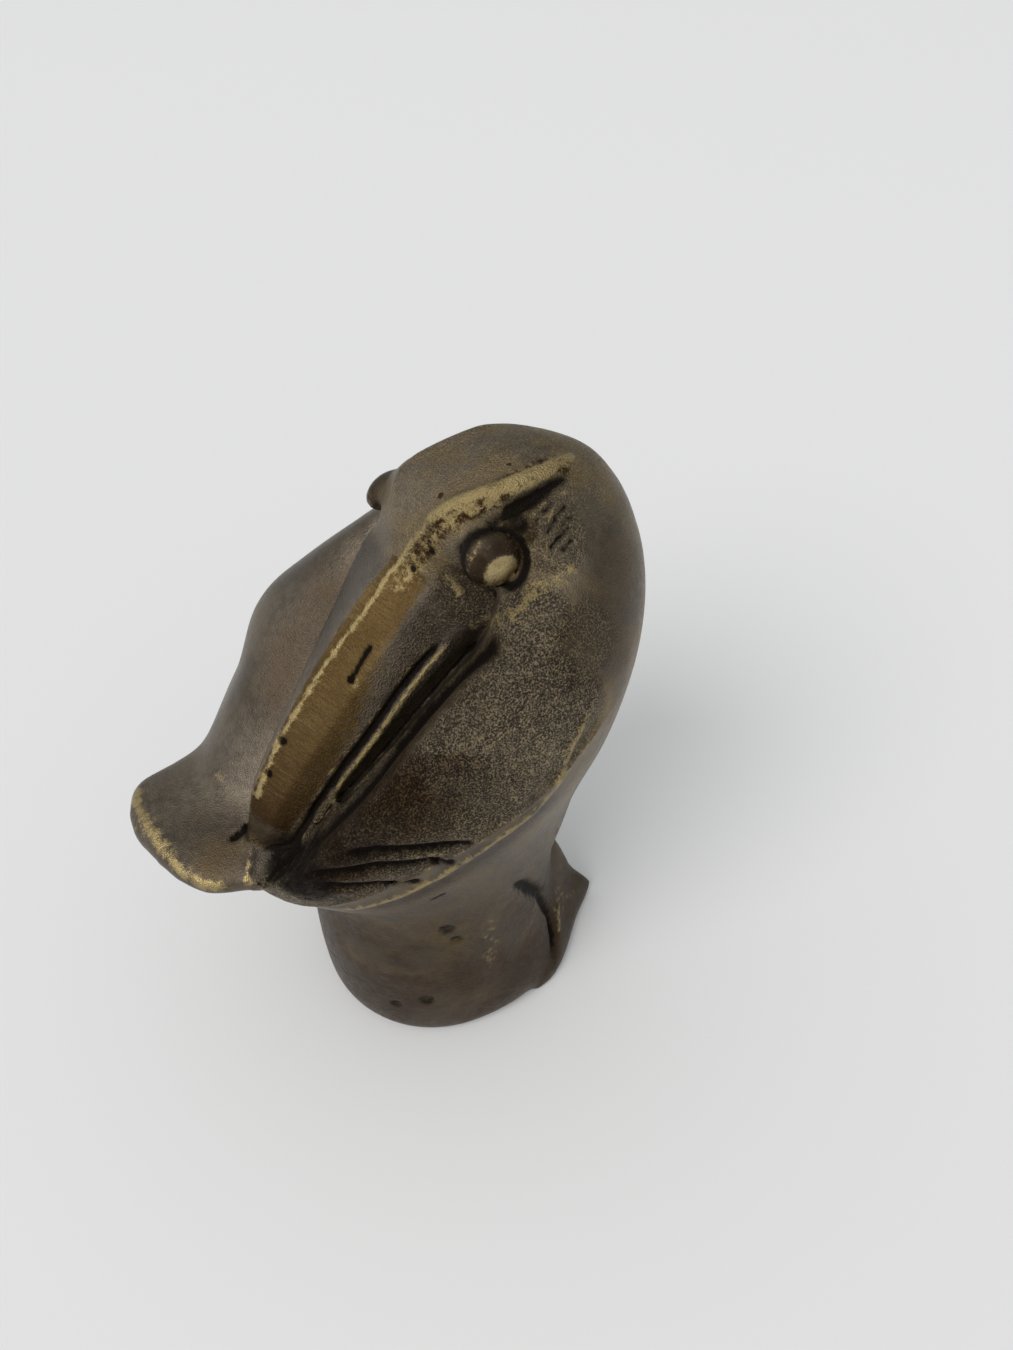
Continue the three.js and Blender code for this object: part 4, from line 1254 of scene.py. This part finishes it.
@dataclass
class Head(Part):
    """Head with its brows and eyes."""

    slots: Dict[str, str] = field(default_factory=lambda: {
        "head": "smooth_patina", "left_eye": "worn_brass", "right_eye": "worn_brass",
    })
    ticks: Tuple[Tuple[Point, Point], ...] = (
        ((15.2, -7.1, 92.0), (14.1, -8.1, 91.4)), ((16.4, -7.7, 91.0), (15.1, -8.6, 90.6)),
        ((17.0, -8.3, 89.9), (15.5, -9.0, 89.7)), ((15.0, -8.8, 90.3), (13.8, -9.5, 89.5)),
        ((16.3, -9.1, 89.1), (14.9, -9.8, 88.6)), ((15.1, -9.8, 88.5), (13.9, -10.4, 88.0)),
        ((16.4, -10.0, 88.1), (15.2, -10.6, 87.7)), ((13.7, -8.1, 91.5), (12.8, -8.9, 90.7)),
    )
    eye: Point = (7.4, -10.5, 87.6)
    eye_ring: Span = (3.1, 3.5)
    eye_end: Span = (3.7, 4.3)
    eye_darkening: float = 0.95
    strokes: Tuple[Stroke, ...] = (
        Stroke(((19.9, -3.3, 92.8), (15.7, -5.9, 93.0), (12.5, -6.9, 92.2), (10.1, -7.2, 91.5),
                (6.8, -8.2, 90.3), (5.9, -8.2, 89.9)),
               Mark.GROOVE, 0.85, 1.1, dark=1.0, taper=0.4),
        # Painted shade under the brow, past the end of the cut groove; nothing is cut here.
        Stroke(((10.1, -7.2, 91.5), (6.8, -8.2, 90.3), (4.7, -8.4, 89.1), (4.4, -6.9, 85.9)),
               Mark.GROOVE, 1.2, 0.0, dark=0.8, taper=0.15),
        Stroke(((18.9, -3.4, 93.2), (15.0, -3.8, 94.0), (8.8, -5.6, 92.8), (5.8, -5.5, 91.3),
                (3.4, -4.6, 89.4), (0.5, -2.7, 84.1), (-3.0, -3.4, 80.2)),
               Mark.RIDGE, 1.5, 0.05, bright=0.62, filed=1.0, taper=0.05),
        Stroke(((20.1, -1.6, 92.9), (15.9, -3.8, 94.1), (12.9, -4.7, 94.2), (9.7, -5.1, 93.6),
                (7.1, -4.7, 92.8), (3.9, -3.8, 91.1), (1.7, -3.0, 88.4)),
               Mark.RIDGE, 0.9, 0.4, bright=0.78, taper=0.1),
        Stroke(((17.7, -11.4, 86.5), (13.7, -12.9, 85.9), (10.4, -13.5, 84.8), (7.8, -14.0, 82.4),
                (6.0, -9.0, 77.5), (3.7, -8.0, 76.4)),
               Mark.RIDGE, 1.15, 0.3, bright=0.56),
        Stroke(((3.2, -5.9, 83.7), (4.1, -6.2, 82.0), (4.9, -6.5, 80.6)),
               Mark.RIDGE, 0.8, 0.3, bright=0.8),
    )
    worn_place: Point = (8.0, -10.6, 86.4)
    worn_span: Span = (1.6875, 2.25)
    eye_growth: float = 0.13
    eye_move: Point = (0.9, -0.3, 0.1)
    eye_rounds: int = 3
    far_eye_move: Point = (-1.0, -0.4, -1.4)
    far_eye_rounds: int = 30
    far_eye_darkening: float = 0.8
    far_darkening_rounds: int = 6
    gape: Soften = Soften((6.5, -11.0, 79.5), 7.5, 300)
    brow_root: Soften = Soften((-1.0, 0.5, 84.5), 6.0, 60)

    def form(self, skin: CastingSkin) -> None:
        """Blends the head into the bill, rounds out the near eye and sets the far one lower."""
        skin.soften(self.gape, skin.edged("left_eye"))
        skin.soften(self.brow_root, skin.on("left_eye"))
        middle = skin.points[skin.on("left_eye") > 0].mean(axis=0)
        near = skin.blur(skin.on("left_eye"), self.eye_rounds)[:, None]
        far = skin.blur(skin.on("right_eye"), self.far_eye_rounds)[:, None]
        skin.points += self.eye_growth * near * (skin.points - middle)
        skin.points += near * np.array(self.eye_move) + far * np.array(self.far_eye_move)
        skin.search = None

    def mark(self, skin: CastingSkin) -> None:
        """Raises the brow, cuts the hollow under it, paints shade past its end and rubs the eye
        bright in a dark ring.
        """
        super().mark(skin)
        for tick in self.ticks:
            skin.stroke(Stroke(tick, Mark.GROOVE, 0.34, 0.3, dark=0.6, taper=0.0))
        gaps = skin.gaps(self.eye)
        inside = 1.0 - smooth_share(gaps, *self.eye_end)
        skin.stain(Mask.THICK, self.eye_darkening * inside)
        skin.stain(Mask.DARK, inside * smooth_share(gaps, *self.eye_ring))
        worn = 1.0 - smooth_share(skin.gaps(self.worn_place), *self.worn_span)
        skin.stain(Mask.BRIGHT, worn)
        for mask in (Mask.DARK, Mask.THICK):
            skin.masks[mask] *= 1.0 - worn
        far = skin.blur(skin.on("right_eye"), self.far_darkening_rounds)
        skin.stain(Mask.THICK, self.far_eye_darkening * far)


@dataclass
class Studio:
    """Floor, soft light and camera."""

    eye: Point = (-19.2, -96.25, 160.0)
    right: Point = (0.951057, -0.309017, 0.0)
    up: Point = (0.218508, 0.672499, 0.707107)
    lens: float = 28.08
    floor_half: float = 2.5
    floor_colour: Colour = (0.74, 0.74, 0.735)
    floor_rough: float = 0.7
    floor_shine: float = 0.2
    sky_low: Colour = (0.28, 0.29, 0.30)
    sky_high: Colour = (0.86, 0.87, 0.88)
    sky_span: Span = (-0.5, 0.9)
    key_from: Point = (-0.83, -0.56, 1.04)
    key_angle: float = 0.6
    key_strength: float = 1.45
    key_colour: Colour = (1.0, 0.99, 0.97)

    def build(self) -> None:
        """Sets up the whole studio."""
        self._floor()
        self._sky()
        self._key()
        self._camera()
        bpy.context.scene.view_settings.view_transform = "Standard"

    def _floor(self) -> None:
        """Lays the plain pale floor."""
        form = bmesh.new()
        bmesh.ops.create_grid(form, x_segments=1, y_segments=1, size=self.floor_half)
        mesh = bpy.data.meshes.new("floor")
        form.to_mesh(mesh)
        form.free()
        floor = bpy.data.objects.new("floor", mesh)
        bpy.context.collection.objects.link(floor)
        paint = bpy.data.materials.new("floor")
        paint.use_nodes = True
        shader = paint.node_tree.nodes["Principled BSDF"]
        shader.inputs["Base Color"].default_value = (*self.floor_colour, 1.0)
        shader.inputs["Roughness"].default_value = self.floor_rough
        shader.inputs["Specular IOR Level"].default_value = self.floor_shine
        mesh.materials.append(paint)

    def _sky(self) -> None:
        """Lights the studio softly all round, more from the key light's side."""
        world = bpy.data.worlds.new("studio")
        bpy.context.scene.world = world
        world.use_nodes = True
        world.node_tree.nodes.clear()
        bench = ShaderBench(world.node_tree)
        place = bench.node("ShaderNodeTexCoord").outputs["Generated"]
        side = bench.node("ShaderNodeVectorMath", operation="DOT_PRODUCT")
        bench.feed(side.inputs[0], place)
        side.inputs[1].default_value = Vector(self.key_from).normalized()
        share = bench.ease(side.outputs["Value"], self.sky_span)
        colour = bench.tint(share, self.sky_low, self.sky_high)
        light = bench.node("ShaderNodeBackground", {"Color": colour, "Strength": 1.0})
        bench.node("ShaderNodeOutputWorld", {"Surface": light.outputs["Background"]})

    def _key(self) -> None:
        """Hangs the soft key light."""
        lamp = bpy.data.lights.new("key", "SUN")
        lamp.angle = self.key_angle
        lamp.energy = self.key_strength
        lamp.color = self.key_colour
        key = bpy.data.objects.new("key", lamp)
        bpy.context.collection.objects.link(key)
        key.rotation_euler = Vector(self.key_from).to_track_quat("Z", "Y").to_euler()

    def _camera(self) -> None:
        """Places the camera at the photograph's angle."""
        data = bpy.data.cameras.new("camera")
        data.lens = self.lens
        data.sensor_width = 36.0
        data.sensor_fit = "AUTO"
        data.clip_start = 0.01
        camera = bpy.data.objects.new("camera", data)
        bpy.context.collection.objects.link(camera)
        right, up = Vector(self.right), Vector(self.up)
        turn = Matrix((right, up, right.cross(up))).transposed()
        camera.matrix_world = Matrix.Translation(Vector(self.eye) * MM) @ turn.to_4x4()
        bpy.context.scene.camera = camera


FINISHES = (
    BrassFinish("smooth_patina"),
    BrassFinish("sand_cast", satin=0.40, pit_share=0.2),
    BrassFinish("filed_brass", satin=0.36, pit_share=0.2),
    BrassFinish("worn_brass", gleam=(0.400, 0.310, 0.150), pit_share=0.05),
)


def main() -> None:
    """Builds the studio and the pelican in order."""
    logging.basicConfig(level=logging.INFO, format="%(relativeCreated)6d ms %(message)s")
    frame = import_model()
    Studio().build()
    skin = CastingSkin(frame["nodes"], voxel=0.39, lap=0.2)
    LOG.info("skin: %d points", len(skin.points))
    parts: Tuple[Part, ...] = (Trunk(), Wings(), Bill(), Head())
    for part in parts:
        part.form(skin)
        LOG.info("%s formed", type(part).__name__)
    for part in parts:
        part.mark(skin)
        LOG.info("%s marked", type(part).__name__)
    skin.weather()
    skin.settle()
    effects = Effects()
    finishes = {finish.slot: finish.material(effects) for finish in FINISHES}
    made = [piece for part in parts for piece in part.dress(skin, finishes)]
    LOG.info("%d pieces", len(made))
    bpy.data.meshes.remove(skin.mesh)


if __name__ == "__main__":
    main()
